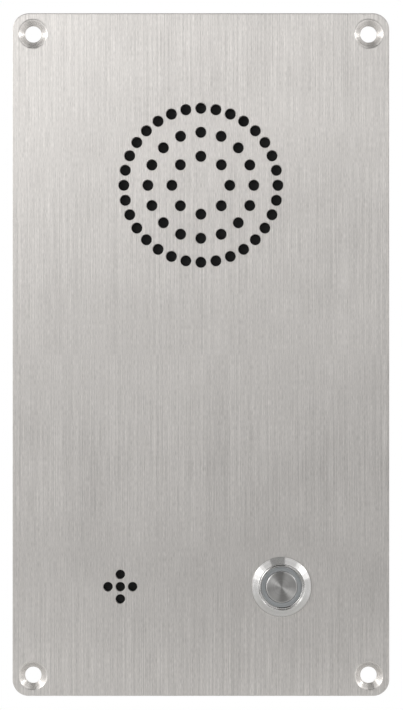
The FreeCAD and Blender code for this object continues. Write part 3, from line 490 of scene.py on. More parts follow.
# Each finish: its dark and light colour, its range of roughness, its pattern with that one's values, and what
# made() is told besides. A colour is red, green and blue, or a setting of the scene with a factor.
PLATE, ZINC, PAPER = "intercom_plate.steel", "intercom_cover.zinc", "intercom_stage.paper"
BEZEL, RING = "intercom_switch.steel", "intercom_switch.ring"
FINISHES = {
    "brushed_steel": ((PLATE, 0.72), (PLATE, 1.30), (0.34, 0.46), ("hairline", 8000.0, 60.0), dict(
        metal=1.0, patches=0.012, depth=1.2e-5, wear=0.3, worn=(PLATE, 1.25), plain={"Anisotropic": 0.8})),
    "cut_edge": ((PLATE, 0.8), (PLATE, 1.15), (0.3, 0.45), ("hairline", 4000.0, 900.0), dict(
        metal=1.0, patches=0.05, bump=0.3, wear=0.4, worn=(PLATE, 1.2))),
    # The countersinks' turning is real, but their colour is a brighter copy of the plate's steel: painted
    # highlight that whitens their glints.
    "countersunk_steel": ((PLATE, 1.06), (PLATE, 1.42), (0.22, 0.31), ("turning", 3800.0), dict(
        metal=1.0, patches=0.03, bump=0.35, wear=0.3, worn=(PLATE, 1.45), plain={"Anisotropic": 0.9})),
    "mill_steel": ((PLATE, 0.72), (PLATE, 0.86), (0.32, 0.5), ("hairline", 900.0, 20.0), dict(
        metal=1.0, bump=0.05)),
    # The acoustic cloth's weave is real. Its strong soft patches are painted sheen: lighter blotches that
    # stand in for light caught by the cloth.
    "acoustic_cloth_painted_sheen": ((0.003, 0.003, 0.0032), (0.016, 0.016, 0.017), (0.7, 0.95), ("weave", 3200.0), dict(
        patches=0.7, bump=0.6, depth=8e-5, cloud=110.0)),
    "turned_steel": ((BEZEL, 0.88), (BEZEL, 1.1), (0.13, 0.20), ("turning", 2600.0), dict(
        metal=1.0, patches=0.02, bump=0.25, depth=1.5e-5, wear=0.5, worn=(BEZEL, 1.3), centre="button_cap",
        plain={"Anisotropic": 0.85})),
    "nickel_barrel": ((0.42, 0.40, 0.36), (0.56, 0.53, 0.48), (0.2, 0.35), ("grain", 1500.0), dict(
        metal=1.0, patches=0.05)),
    "spun_steel": ((BEZEL, 0.63), (BEZEL, 0.81), (0.28, 0.34), ("turning", 3400.0), dict(
        metal=1.0, patches=0.03, bump=0.2, depth=1e-5, centre="button_cap", plain={"Anisotropic": 1.0})),
    "chamfered_steel": ((BEZEL, 0.88), (BEZEL, 1.05), (0.2, 0.28), ("turning", 3000.0), dict(
        metal=1.0, patches=0.02, centre="button_cap")),
    "frosted_ring": ((RING, 0.9), (RING, 1.15), (0.22, 0.34), ("turning", 1500.0), dict(
        patches=0.08, bump=0.15, depth=3e-5, wear=0.35, worn=(RING, 1.8), centre="button_cap",
        plain={"Coat Weight": 0.4, "Coat Roughness": 0.12, "Subsurface Weight": 0.15,
               "Subsurface Radius": (0.001, 0.001, 0.001), "IOR": 1.58})),
    "galvanised_sheet": ((ZINC, 0.80), (ZINC, 1.10), (0.30, 0.44), ("spangle", 210.0), dict(
        metal=1.0, patches=0.07, bump=0.05, wear=0.4, worn=(ZINC, 1.25), cloud=22.0)),
    "welded_seam": ((ZINC, 0.42), (ZINC, 0.72), (0.4, 0.6), ("grain", 900.0), dict(
        metal=1.0, patches=0.12, bump=0.3, depth=5e-5)),
    "closed_cell_foam": ((0.012, 0.012, 0.013), (0.035, 0.035, 0.037), (0.85, 1.0), ("grain", 2200.0), dict(
        patches=0.12, bump=0.8, depth=1.5e-4)),
    "bright_zinc": ((0.50, 0.51, 0.50), (0.68, 0.69, 0.68), (0.2, 0.34), ("grain", 1400.0), dict(
        metal=1.0, patches=0.08, wear=0.6, worn=(0.86, 0.86, 0.84))),
    "nickel_plate": ((0.46, 0.44, 0.40), (0.62, 0.60, 0.55), (0.16, 0.30), ("hairline", 3000.0, 200.0), dict(
        metal=1.0, patches=0.05, depth=1e-5, wear=0.5, worn=(0.85, 0.83, 0.78))),
    "gold_flash": ((0.72, 0.48, 0.16), (0.90, 0.66, 0.28), (0.14, 0.26), ("grain", 2500.0), dict(
        metal=1.0, patches=0.04, bump=0.05)),
    "pressed_steel": ((0.30, 0.30, 0.29), (0.44, 0.44, 0.42), (0.3, 0.45), ("grain", 700.0), dict(
        metal=1.0, patches=0.08, bump=0.08, wear=0.4, worn=(0.7, 0.7, 0.68))),
    "passivated_steel": ((0.40, 0.40, 0.36), (0.56, 0.55, 0.48), (0.26, 0.4), ("grain", 500.0), dict(
        metal=1.0, patches=0.10, bump=0.08, wear=0.4, worn=(0.75, 0.74, 0.7))),
    "ferrite": ((0.018, 0.018, 0.019), (0.05, 0.05, 0.052), (0.5, 0.72), ("grain", 1300.0), dict(
        patches=0.1, bump=0.4, depth=4e-5, wear=0.6, worn=(0.10, 0.10, 0.10))),
    "pressed_paper": ((0.012, 0.012, 0.012), (0.045, 0.044, 0.042), (0.75, 0.95), ("grain", 1100.0), dict(
        patches=0.12, bump=0.6, depth=1e-4)),
    "coated_cloth": ((0.010, 0.010, 0.010), (0.03, 0.03, 0.03), (0.5, 0.7), ("weave", 2600.0), dict(
        patches=0.1, bump=0.4, depth=6e-5)),
    "varnished_cloth": ((0.30, 0.18, 0.06), (0.52, 0.34, 0.13), (0.5, 0.7), ("weave", 2400.0), dict(
        patches=0.1, bump=0.5, depth=8e-5)),
    "enamelled_copper": ((0.45, 0.17, 0.07), (0.72, 0.32, 0.16), (0.2, 0.35), ("turning", 3000.0), dict(
        metal=1.0, patches=0.05, centre="speaker_frame")),
    "aluminium_can": ((0.52, 0.52, 0.52), (0.70, 0.70, 0.69), (0.22, 0.36), ("grain", 1500.0), dict(
        metal=1.0, patches=0.05, bump=0.08)),
    "solder": ((0.45, 0.45, 0.44), (0.62, 0.62, 0.60), (0.2, 0.4), ("grain", 2500.0), dict(
        metal=1.0, patches=0.05, bump=0.3, depth=3e-5)),
    "black_rubber": ((0.010, 0.010, 0.0105), (0.024, 0.024, 0.025), (0.5, 0.72), ("grain", 1500.0), dict(
        patches=0.08, bump=0.3, depth=4e-5)),
    "white_acetal": ((0.60, 0.59, 0.56), (0.74, 0.73, 0.70), (0.32, 0.45), ("grain", 1500.0), dict(
        patches=0.03, plain={"Subsurface Weight": 0.1, "Subsurface Radius": (0.002, 0.002, 0.002)})),
    "nickelled_brass": ((0.44, 0.42, 0.38), (0.60, 0.57, 0.52), (0.2, 0.33), ("grain", 1300.0), dict(
        metal=1.0, patches=0.05, wear=0.5, worn=(0.82, 0.78, 0.7))),
    "white_solder_mask": ((0.62, 0.62, 0.60), (0.72, 0.72, 0.70), (0.35, 0.5), ("grain", 1500.0), dict(
        patches=0.03, bump=0.05)),
    "lamp_phosphor": ((0.66, 0.56, 0.12), (0.78, 0.70, 0.20), (0.3, 0.4), ("grain", 3000.0), dict(
        patches=0.02)),
    "spring_steel": ((0.48, 0.47, 0.45), (0.64, 0.63, 0.60), (0.18, 0.3), ("grain", 2000.0), dict(
        metal=1.0, patches=0.04, bump=0.05)),
    "green_solder_mask": ((0.004, 0.055, 0.020), (0.020, 0.14, 0.05), (0.25, 0.38), ("traces", 0.00127), dict(
        patches=0.05, bump=0.15, depth=3e-5)),
    "glass_laminate": ((0.20, 0.19, 0.10), (0.34, 0.32, 0.17), (0.5, 0.7), ("weave", 3000.0), dict(
        patches=0.05, bump=0.3)),
    "capacitor_sleeve": ((0.006, 0.008, 0.03), (0.014, 0.018, 0.06), (0.28, 0.4), ("grain", 900.0), dict(
        patches=0.05, bump=0.05)),
    "paper_laminate": ((0.16, 0.08, 0.03), (0.24, 0.13, 0.05), (0.45, 0.6), ("grain", 1100.0), dict(
        patches=0.08)),
    "silver_contact": ((0.62, 0.61, 0.58), (0.78, 0.77, 0.74), (0.18, 0.3), ("grain", 1800.0), dict(
        metal=1.0, patches=0.05, bump=0.05)),
    "grey_sheath": ((0.055, 0.055, 0.058), (0.085, 0.085, 0.09), (0.45, 0.6), ("grain", 1300.0), dict(
        patches=0.05, bump=0.15)),
    "black_felt": ((0.02, 0.02, 0.02), (0.04, 0.04, 0.04), (0.9, 1.0), ("grain", 300.0), {}),
    "grey_felt": ((0.93, 0.93, 0.93), (0.96, 0.96, 0.96), (0.9, 1.0), ("grain", 300.0), {}),
    "slate_card": ((0.60, 0.60, 0.60), (0.66, 0.66, 0.66), (0.9, 1.0), ("grain", 300.0), {}),
    "paper": ((PAPER, 0.98), (PAPER, 1.02), (0.8, 0.95), ("grain", 900.0), dict(patches=0.01, bump=0.05)),
    "black_nylon": moulded((0.014, 0.014, 0.015)),
    "grey_nylon": moulded((0.05, 0.05, 0.052)),
    "ivory_nylon": moulded((0.55, 0.52, 0.42), (0.35, 0.5)),
    "terminal_green": moulded((0.02, 0.16, 0.055), (0.35, 0.5)),
    "release_lever": moulded((0.62, 0.20, 0.03), (0.35, 0.5)),
    "white_package": moulded((0.70, 0.70, 0.68), (0.3, 0.45)),
    "black_epoxy": moulded((0.016, 0.016, 0.017), (0.4, 0.55)),
    "relay_blue": moulded((0.01, 0.045, 0.24), (0.3, 0.45)),
}


def tone(colour, factor=1.0):
    """A colour times a factor. A setting's path with a factor of its own gives that setting's colour."""
    if isinstance(colour[0], str):
        return tone(bpy.context.scene.path_resolve(colour[0]), colour[1] * factor)
    return tuple(c * factor for c in colour[:3]) + (1.0,)


def finish(key, corner=None):
    """The material of a row of FINISHES, made once. Corner is one of a turned finish's four centres."""
    material = bpy.data.materials.get(key + "_finish")
    if material is None:
        dark, light, rough, pattern, more = FINISHES[key]
        material = made(key + "_finish", dark, light, rough, pattern, corner, **more)
    return material


def made(name, dark, light, rough, pattern, corner, metal=0.0, patches=0.06, bump=0.1, depth=2e-5, wear=0.0,
         worn=None, centre=None, cloud=30.0, plain=None):
    """A Principled material: the pattern runs its colour from dark to light and its roughness over a range,
    soft patches lift and lower both, and rubbed edges take the worn colour."""
    material = bpy.data.materials.new(name)
    material.use_nodes = True
    net = Net(material.node_tree)
    shader = material.node_tree.nodes["Principled BSDF"]
    place = near = net.add("TexCoord").outputs["Object"]
    if corner is not None:
        near = net.add("VectorMath", {0: place}, operation="ABSOLUTE").outputs[0]
    if centre is not None or corner is not None:
        x, z = corner or middle(centre)
        near = net.add("Mapping", {"Vector": near, "Location": (-x * MM, 0.0, -z * MM)}).outputs[0]
    fine = net.pattern(pattern[0], near, *pattern[1:])
    soft = net.pattern("cloud", place, cloud)
    colour = net.mix(fine, tone(dark), tone(light))
    shade = net.spread(soft, 0.0, 1.0, 1 - patches, 1 + patches)
    colour = net.mix(1.0, colour, net.whole(shade, shade, shade), "MULTIPLY")
    if wear:
        bright = tone(worn) if worn else tone(light, 1.25)
        colour = net.mix(net.pattern("wear", place, Amount=wear), colour, bright)
    roughness = net.spread(net.plus(net.times(fine, 0.6), net.times(soft, 0.4)), 0.0, 1.0, *rough)
    net.join(shader, {"Base Color": colour, "Roughness": roughness, "Metallic": metal})
    if bump:
        relief = net.add("Bump", {"Strength": bump, "Distance": depth, "Height": fine})
        net.join(shader, {"Normal": relief.outputs[0]})
    net.join(shader, plain or {})
    if plain and "Anisotropic" in plain:
        along = net.add("Tangent", direction_type="UV_MAP", uv_map="UVMap")
        net.join(shader, {"Tangent": along.outputs[0]})
    return material


# Settings that a user would change.


def length(name, text, default):
    """A length, given in millimetres."""
    return FloatProperty(name=name, description=text, default=default * MM, min=0.0, precision=5,
                         unit="LENGTH", subtype="DISTANCE")


def colour(name, text, default):
    """A colour of red, green and blue."""
    return FloatVectorProperty(name=name, description=text, default=default, size=3, min=0.0, max=1.0,
                               subtype="COLOR")


def power(name, text, default):
    """A lamp's power in watts."""
    return FloatProperty(name=name, description=text, default=default, min=0.0, unit="POWER")


class PlateSettings(bpy.types.PropertyGroup):
    """Sizes and colour of the front plate"""
    corner_radius: length("Corner radius", "Radius of the plate's four corners", 6.0)
    edge_break: length("Edge break", "Rounding of the plate's cut edges", 0.15)
    hole_break: length("Hole break", "Rounding of the holes' edges", 0.06)
    grille_hole: length("Grille hole", "Diameter of the loudspeaker's holes", 4.0)
    grille_first: length("First ring", "Radius of the grille's first ring of holes", 10.6)
    grille_step: length("Ring step", "Distance from one ring of holes to the next", 8.8)
    mic_hole: length("Microphone hole", "Diameter of the microphone's holes", 3.5)
    mic_pitch: length("Microphone pitch", "Distance between the microphone's holes", 4.5)
    fixing_inset: length("Fixing inset", "Distance of the fixing holes from the plate's edges", 7.5)
    fixing_hole: length("Fixing hole", "Diameter of the fixing holes", 6.0)
    sink_hole: length("Countersink", "Diameter of the countersinks at the plate's face", 10.4)
    steel: colour("Steel", "Colour of the brushed plate", (0.60, 0.578, 0.556))


class SwitchSettings(bpy.types.PropertyGroup):
    """Sizes and colours of the push switch"""
    bezel: length("Bezel", "Diameter of the switch's bezel", 22.0)
    ridge: length("Ridge", "Diameter of the bezel's highest line", 17.1)
    bore: length("Bore", "Diameter of the housing's bore", 16.0)
    lip: length("Lip", "Diameter inside the polished lip that the light ring slides in", 14.94)
    barrel: length("Barrel", "Diameter of the threaded barrel", 18.9)
    pitch: length("Thread pitch", "Pitch of the barrel's thread", 1.0)
    steel: colour("Steel", "Colour of the turned bezel", (0.55, 0.542, 0.532))
    ring: colour("Ring", "Colour of the unlit light ring", (0.240, 0.250, 0.256))


class CoverSettings(bpy.types.PropertyGroup):
    """Sizes and colour of the rear cover"""
    sheet: length("Sheet", "Thickness of the cover's sheet", 1.2)
    fold: length("Fold", "Outer radius of the cover's rear folds", 2.4)
    flange: length("Flange", "Width of the cover's flange", 11.0)
    flange_corner: length("Flange corner", "Radius of the flange's corners", 16.0)
    zinc: colour("Zinc", "Colour of the galvanised sheet", (0.56, 0.58, 0.60))


class StageSettings(bpy.types.PropertyGroup):
    """Camera, lamps and paper"""
    distance: length("Camera distance", "From the lens to the plate's face", 1000.0)
    floor_drop: length("Floor drop", "From the plate's lower edge down to the floor", 40.0)
    left_lamp: power("Left lamp", "Power of the left softbox", 0.18)
    right_lamp: power("Right lamp", "Power of the right softbox", 0.20)
    core_lamp: power("Lamp cores", "Power of the left softbox's core; the right core has 0.9 of it", 0.22)
    fill_lamp: power("Fill", "Power of the two wide lamps on the left: 1.6 of it above, 0.7 below", 1.93)
    paper: colour("Paper", "Colour of the floor", (0.9, 0.9, 0.89))


def settings(kind):
    """The lengths among the scene's settings of one kind, in millimetres."""
    held = getattr(bpy.context.scene, kind)
    lengths = [key for key, prop in held.bl_rna.properties.items() if getattr(prop, "unit", "") == "LENGTH"]
    return SimpleNamespace(**{key: getattr(held, key) / MM for key in lengths})


class Cad:
    """The box of a CAD node in millimetres: its six sides, its three sizes and its centre."""

    def __init__(self, node):
        low, high = (np.array(corner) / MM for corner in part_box(node))
        self.left, self.front, self.bottom = low
        self.right, self.rear, self.top = high
        self.width, self.depth, self.height = high - low
        self.x, _, self.z = (low + high) / 2


def middle(node):
    """Centre of a CAD node across the plate, in millimetres."""
    cad = Cad(node)
    return cad.x, cad.z


# Places and shapes that several pieces share, in millimetres.

STUD_X, STUD_Z = 53.6, 95.5
COVER_STUDS = [(side * STUD_X, k * STUD_Z) for side in SIDES for k in (-1, 0, 1)]
STRAP_STUDS = [(-28.072, 33.928), (28.072, 90.072)]
BRACKET_STUDS = [(-14.0, -90.5), (-14.0, -79.5)]
M3_CREST, M3_ROOT, M3_DEPTH, M3_PITCH, M3_FLATS = 1.5, 1.23, 0.27, 0.5, 5.5


def four(x, z):
    """Four places, mirrored across both axes."""
    return [(sx * x, sz * z) for sx in SIDES for sz in SIDES]


def band(inner, front, outer, rear):
    """The closed profile of a plain ring."""
    return [(inner, front), (outer, front), (outer, rear), (inner, rear)]


def board_fixing_places():
    """The board's four screws, 4 mm in from its edges."""
    cad = Cad("main_board")
    return [(x, z) for x in (cad.left + 4, cad.right - 4) for z in (cad.bottom + 4, cad.top - 4)]


def threaded(radius, pitch, depth, front, rear, x, z, count):
    """A screw thread along Y: the radius falls by depth from crest to root as the level less the turn's share
    of the pitch goes round, and both ends run out to the root."""
    rows_to_a_turn = 6
    y = np.linspace(front, rear, max(4, int((rear - front) / pitch * rows_to_a_turn) + 1))[:, None]
    a = angles(count)
    phase = (y / pitch - a / (2 * math.pi)) % 1
    crest = 1 - np.clip(np.abs(phase - 0.5) * 2.6 - 0.2, 0, 1)
    fade = np.clip(np.minimum(y - front, rear - y) / (pitch * 0.6), 0, 1)
    return around(x, z, radius - depth + depth * crest * fade, y, a)


def hexagon(across, turn, count=72):
    """Angles, and a hexagon's radius at each: half its width over the cosine of the angle to a flat."""
    a = angles(count)
    return a, across / 2 / np.cos((a - turn + math.pi / 6) % (math.pi / 3) - math.pi / 6)


def hex_nut(shell, across, bore, front, rear, x, z, turn=0.0):
    """A nut: its flats' radius is cut by a cone at both faces, and its bore is countersunk."""
    a, flats = hexagon(across, turn)
    land, cot_30 = across / 2 * 0.985, 1.73
    drop = np.array([0, 0.04, 0.08, 0.13, 0.2, 0.5, 0.8, 0.87, 0.92, 0.96, 1.0])[:, None]
    from_face = np.minimum(drop, 1 - drop) * (rear - front)
    r = np.minimum(flats, land + from_face * cot_30)
    worn = np.minimum(1, 0.1 / (from_face[:, 0] + 0.1))
    shell.grid(around(x, z, r, front + drop * (rear - front), a), 0, worn)
    ease = min(0.35, (across / 2 - bore) * 0.3)
    for level, into in ((front, 1), (rear, -1)):
        shell.lathe([(land, level), (bore + ease + 0.12, level), (bore + ease, level + into * 0.02),
                     (bore, level + into * ease)], x, z, 72, 0, [1, 0, 1, 1])
    shell.lathe([(bore, front + ease), (bore, rear - ease)], x, z, 72)


def turned(name, node, key, slot, profile, radius, closed=False, body="case", place=None):
    """One turned piece with its corners rounded, which stands for one CAD node."""
    shell = Shell()
    shell.eased(profile, radius, *(place or middle(node)), closed=closed)
    shell.piece(name, node, slot, key, body)


def swept(x, line, across, lift):
    """A section carried along a line of (y, z) points: across goes along X, lift along the line's normal."""
    step = np.gradient(line, axis=0)
    step /= np.linalg.norm(step, axis=1)[:, None]
    y, z = line[:, :1] - lift * step[:, 1:], line[:, 1:] + lift * step[:, :1]
    return np.stack(np.broadcast_arrays(x + across, y, z), -1)


def close_ends(shell, rings, shares):
    """The ends of a tube of rings: each end ring shrinks by the shares to its centre."""
    for ring in (rings[0], rings[-1]):
        centre = ring.mean(0)
        shell.grid(centre + np.array(shares)[:, None, None] * (ring - centre))


class INTERCOM_OT_front_plate(bpy.types.Operator):
    """Brushed sheet with the grille's, the microphone's, the switch's and the four countersunk holes"""
    bl_idname = "intercom.front_plate"
    bl_label = "Front Plate"

    def execute(self, context):
        s, cad = settings("intercom_plate"), Cad("front_plate")
        front, rear, burr, break_out, switch_hole = cad.front, cad.rear, 0.15, 0.08, 9.6
        shell = Shell()
        outline = rounded(cad.width, cad.height, s.corner_radius, steps=14)
        edge = rim(s.edge_break, 0.2, 4)
        shell.wall(outline, [(-i, front + d, e) for i, d, e in edge], 1)
        shell.wall(outline, [(0, front + s.edge_break, 1), (0, rear - burr, 1)], 1)
        shell.wall(outline, [(0, rear - burr, 1), (-burr, rear, 1)], 1)
        near, far = [offset(outline, -edge[0][0])], [offset(outline, -burr)]
        mic_x, mic_z = middle("microphone_boot")
        holes = [(x, z, s.grille_hole / 2, 36) for x, z in self.grille(s.grille_first, s.grille_step)]
        holes += [(mic_x + dx * s.mic_pitch, mic_z + dz * s.mic_pitch, s.mic_hole / 2, 36)
                  for dx, dz in ((0, 0), (1, 0), (-1, 0), (0, 1), (0, -1))]
        holes.append((*middle("button_cap"), switch_hole, 96))
        worn = rim(s.hole_break, 0.1)
        for x, z, radius, count in holes:
            loop = circle(radius, x, z, count)
            shell.wall(loop, [(i, front + d, e) for i, d, e in worn], 1)
            rows = [(0, front + s.hole_break, 1), (0, rear - break_out, 0.6), (break_out, rear, 0.6)]
            shell.wall(loop, rows, 1)
            near.append(offset(loop, worn[0][0]))
            far.append(offset(loop, break_out))
        hole, sink = s.fixing_hole / 2, s.sink_hole / 2
        land = sink + 0.3
        corner = (cad.width / 2 - s.fixing_inset, cad.height / 2 - s.fixing_inset)
        for x, z in four(*corner):
            lip, foot = (sink - 0.02, front + 0.03), (hole, front + sink - hole)
            shell.lathe([(land, front), (sink + 0.04, front), lip], x, z, 96, 0, [0, 1, 1])
            shell.lathe(np.linspace(lip, foot, 8), x, z, 96, 2, [1] + [0] * 6 + [1])
            shell.lathe([foot, (hole, rear - break_out), (hole + break_out, rear)], x, z, 96, 1)
            near.append(circle(land, x, z, 96))
            far.append(circle(hole + break_out, x, z, 96))
        shell.fill(near, front, 0)
        shell.fill(far, rear, 3)
        # The countersinks' finish is centred on the corner holes, and its brighter steel is painted
        # highlight.
        finish("countersunk_steel", corner)
        shell.piece("front_plate_sheet", "front_plate", "brushed_plate",
                    "brushed_steel cut_edge countersunk_steel mill_steel")
        return {"FINISHED"}

    def grille(self, first, step):
        """Rings of 8, 16 and 32 holes about the loudspeaker's axis."""
        z = middle("speaker_cone")[1]
        rings = [(first + k * step, angles(8 * 2**k)) for k in range(3)]
        return np.concatenate([np.stack([r * np.sin(a), z + r * np.cos(a)], 1) for r, a in rings])


class INTERCOM_OT_cloths(bpy.types.Operator):
    """Black acoustic cloth behind the loudspeaker's and the microphone's holes"""
    bl_idname = "intercom.cloths"
    bl_label = "Acoustic Cloths"

    def execute(self, context):
        for node, name, count in (("speaker_cloth", "speaker_cloth_disc", 120),
                                  ("microphone_cloth", "microphone_cloth_patch", 0)):
            cad, shell = Cad(node), Shell()
            size = cad.width
            loop = circle(size / 2, cad.x, cad.z, count) if count else rounded(size, size, 0.6, cad.x, cad.z)
            shell.prism(loop, cad.front, cad.rear, 0.12)
            # The cloth's finish carries painted sheen in its soft lighter patches.
            cloth = shell.piece(name, node, "cloth", "acoustic_cloth_painted_sheen")
        return {"FINISHED"}


class INTERCOM_OT_switch_housing(bpy.types.Operator):
    """Turned bezel and threaded barrel of the push switch"""
    bl_idname = "intercom.switch_housing"
    bl_label = "Switch Housing"

    def execute(self, context):
        s, (x, z) = settings("intercom_switch"), middle("button_cap")
        top, face = Cad("switch_housing").front, Cad("front_plate").front
        bezel, ridge, bore, lip, crest = (d / 2 for d in (s.bezel, s.ridge, s.bore, s.lip, s.barrel))
        foot = top + (bezel - ridge) * math.tan(math.radians(36))
        shell = Shell()
        cone = np.linspace((bezel, foot), (ridge + 0.06, top + 0.05), 10)[1:]
        edge_and_cone = [(bezel - 0.15, face), (bezel, face - 0.15), (bezel, foot + 0.1),
                         (bezel - 0.03, foot), *cone, (ridge, top + 0.012), (ridge - 0.05, top)]
        shell.lathe(edge_and_cone, x, z, 160, 0, [1, 1, 0, 1] + [0] * 8 + [0.5, 1, 1])
        web_front, web_rear, tail, guide = 3.0, 8.0, 20.0, 4.45
        root, wall = crest - 0.4, crest - 1.15
        groove_and_lip = [
            (ridge - 0.05, top), (ridge - 0.11, top + 0.03), (ridge - 0.3, top + 0.4),
            (ridge - 0.36, top + 0.46), (ridge - 0.42, top + 0.46), (lip + 0.56, top + 0.4),
            (lip + 0.45, top + 0.36), (lip + 0.25, top + 0.34), (lip + 0.1, top + 0.39),
            (lip + 0.02, top + 0.49), (lip, top + 0.62), (lip, top + 1.6), (bore, top + 1.75),
            (bore, web_front)]
        shell.lathe(groove_and_lip, x, z, 160, 0, [1, 1, 0, 0, 0, 0.5, 1, 1, 1, 1, 0, 0, 0, 0])
        pins = [circle(0.8, x + side * 6.65, z, 24) for side in SIDES]
        shell.fill([circle(bore, x, z, 160), circle(guide, x, z, 96)] + pins, web_front, 1)
        shell.lathe([(guide, web_front), (guide, web_rear)], x, z, 96, 1)
        shell.fill([circle(wall, x, z, 160), circle(guide, x, z, 96)] + pins, web_rear, 1)
        for pin in pins:
            shell.wall(pin, [(0, web_front, 0), (0, web_rear, 0)], 1)
        mouth = [(wall, web_rear), (wall, tail - 0.3), (crest - 0.85, tail), (crest - 0.7, tail)]
        shell.lathe(mouth, x, z, 160, 1, [0, 1, 1, 1])
        seat = [(bezel - 0.15, face), (10.7, face), (10.7, face - 0.5), (root, face - 0.5), (root, 0.4)]
        shell.lathe(seat, x, z, 160, 1)
        shell.grid(threaded(crest, s.pitch, 0.4, 0.4, tail - 0.7, x, z, 160), 1)
        shell.lathe([(root, tail - 0.7), (crest - 0.7, tail)], x, z, 160, 1)
        shell.piece("switch_housing_turned", "switch_housing", "turned_steel", "turned_steel nickel_barrel",
                    sharp=SHARP_FOLD)
        return {"FINISHED"}


class INTERCOM_OT_button(bpy.types.Operator):
    """Spun steel cap and the clear ring round it"""
    bl_idname = "intercom.button"
    bl_label = "Button Cap and Light Ring"

    def execute(self, context):
        cad, shell = Cad("button_cap"), Shell()
        x, z, front, rear = cad.x, cad.z, cad.front, cad.rear
        radius = cad.width / 2 + 0.1
        face = [(r, front) for r in np.linspace(0, radius - 0.36, 12)]
        shell.lathe(face, x, z, 128, 0, [0] * 11 + [1])
        rest = [face[-1], (radius - 0.31, front + 0.02), (radius - 0.03, front + 0.25),
                (radius, front + 0.31), (radius, rear), (0, rear)]
        shell.lathe(rest, x, z, 128, 1, [1, 1, 1, 1, 0, 0])
        shell.piece("button_cap_spun", "button_cap", "turned_steel", "spun_steel chamfered_steel", "button")
        cad, shell = Cad("light_ring"), Shell()
        front, rear, inner, outer = cad.front, cad.rear, 5.9, settings("intercom_switch").lip / 2 - 0.09
        face = np.linspace((inner + 0.12, front), (outer - 0.2, front), 5)
        lens = [(inner, rear - 0.1), (inner, front + 0.12), (inner + 0.035, front + 0.035), *face,
                (outer - 0.06, front + 0.06), (outer, front + 0.2), (outer, rear - 0.1), (outer - 0.1, rear),
                (inner + 0.1, rear), (inner, rear - 0.1)]
        shell.lathe(lens, x, z, 128, 0, [0, 1, 1, 1, 0, 0, 0, 1, 1, 1] + [0] * 4)
        shell.piece("light_ring_lens", "light_ring", "ring_plastic", "frosted_ring", "button")
        return {"FINISHED"}


class INTERCOM_OT_rear_cover(bpy.types.Operator):
    """Folded galvanised tray with welded corners on a flat flange, and two windows for the connectors"""
    bl_idname = "intercom.rear_cover"
    bl_label = "Rear Cover"

    def execute(self, context):
        s, cad = settings("intercom_cover"), Cad("rear_cover")
        front, rear, t, bend, seam, window = cad.front, cad.rear, s.sheet, s.fold, 1.1, 0.4
        width, height = cad.width - 2 * s.flange, cad.height - 2 * s.flange
        shell = Shell()
        outline = rounded(cad.width, cad.height, s.flange_corner, steps=12)
        rows = rim(0.25)
        shell.wall(outline, [(-i, front + d, e) for i, d, e in rows])
        shell.wall(outline, [(-i, front + t - d, e) for i, d, e in rows])
        shell.wall(outline, [(0, front + 0.25, 1), (0, front + t - 0.25, 1)])
        near, far = [offset(outline, -rows[0][0])], [offset(outline, -rows[0][0])]
        for x, z in COVER_STUDS:
            loop = circle(1.7, x, z, 32)
            rows = [(0.1, front, 0.5), (0, front + 0.1, 1), (0, front + t - 0.1, 1), (0.1, front + t, 0.5)]
            shell.wall(loop, rows)
            near.append(offset(loop, 0.1))
            far.append(offset(loop, 0.1))

        def tray(inset, corner):
            """The tray's outline, moved in."""
            return rounded(width - 2 * inset, height - 2 * inset, corner, steps=4)

        a = np.linspace(0, QUARTER, 7)
        loops = [tray(-i, 0.7 + i) for i in seam * (1 - np.sin(a[::2]))]
        loops += [tray(i, 0.7) for i in [0.0, *(bend * (1 - np.cos(a))), bend + 0.4]]
        levels = [*(front + t + seam * (1 - np.cos(a[::2]))), rear - bend - 0.4]
        levels += [*(rear - bend + bend * np.sin(a)), rear]
        far.append(loops[0])
        shell.skin(loops, levels, 0, [0, 0, 0, 0.3] + [0] * 9)
        shell.skin(loops[:4], levels[:4], 1)
        inner = [tray(t + i, 0.6) for i in [-0.15, 0.0, 0.0, *((bend - t) * (1 - np.cos(a)))]]
        depths = [front, front + 0.15, rear - bend - 0.4, *(rear - bend + (bend - t) * np.sin(a))]
        shell.skin(inner, depths, 0, [1, 1] + [0] * 8)
        near.append(inner[0])
        outer_face, inner_face = [loops[-1]], [inner[-1]]
        for node in ("jack_shell", "terminal_block"):
            cad = Cad(node)
            loop = rounded(cad.width + 2 * window, cad.height + 2 * window, 0.6, cad.x, cad.z)
            shell.wall(loop, [(0.3, rear, 0), (0.12, rear, 1), (0, rear - 0.12, 1), (0, rear - t + 0.08, 1),
                              (0.08, rear - t, 1)])
            outer_face.append(offset(loop, 0.3))
            inner_face.append(offset(loop, 0.08))
        for loops, level in ((near, front), (far, front + t), (outer_face, rear), (inner_face, rear - t)):
            shell.fill(loops, level)
        shell.piece("rear_cover_tray", "rear_cover", "galvanised", "galvanised_sheet welded_seam")
        self.beads(width, height, front + t + 0.9, rear - bend * 0.8)
        return {"FINISHED"}

    def beads(self, width, height, front, rear):
        """A weld bead up each corner: a rod whose radius swells with each puddle as the level rises."""
        shell = Shell()
        y, a = np.linspace(front, rear, 150)[:, None], angles(14)
        ends = np.sqrt(np.clip(np.minimum(y - front, rear - y) / 0.7, 0, 1))
        r = (0.78 + 0.10 * np.abs(np.sin(y * math.pi / 1.3 + 0.5 * np.sin(a)))) * ends
        for x, z in four(width / 2 - 0.55, height / 2 - 0.55):
            shell.grid(around(x, z, r, y, a))
        shell.piece("rear_cover_weld_beads", None, "galvanised", "welded_seam")


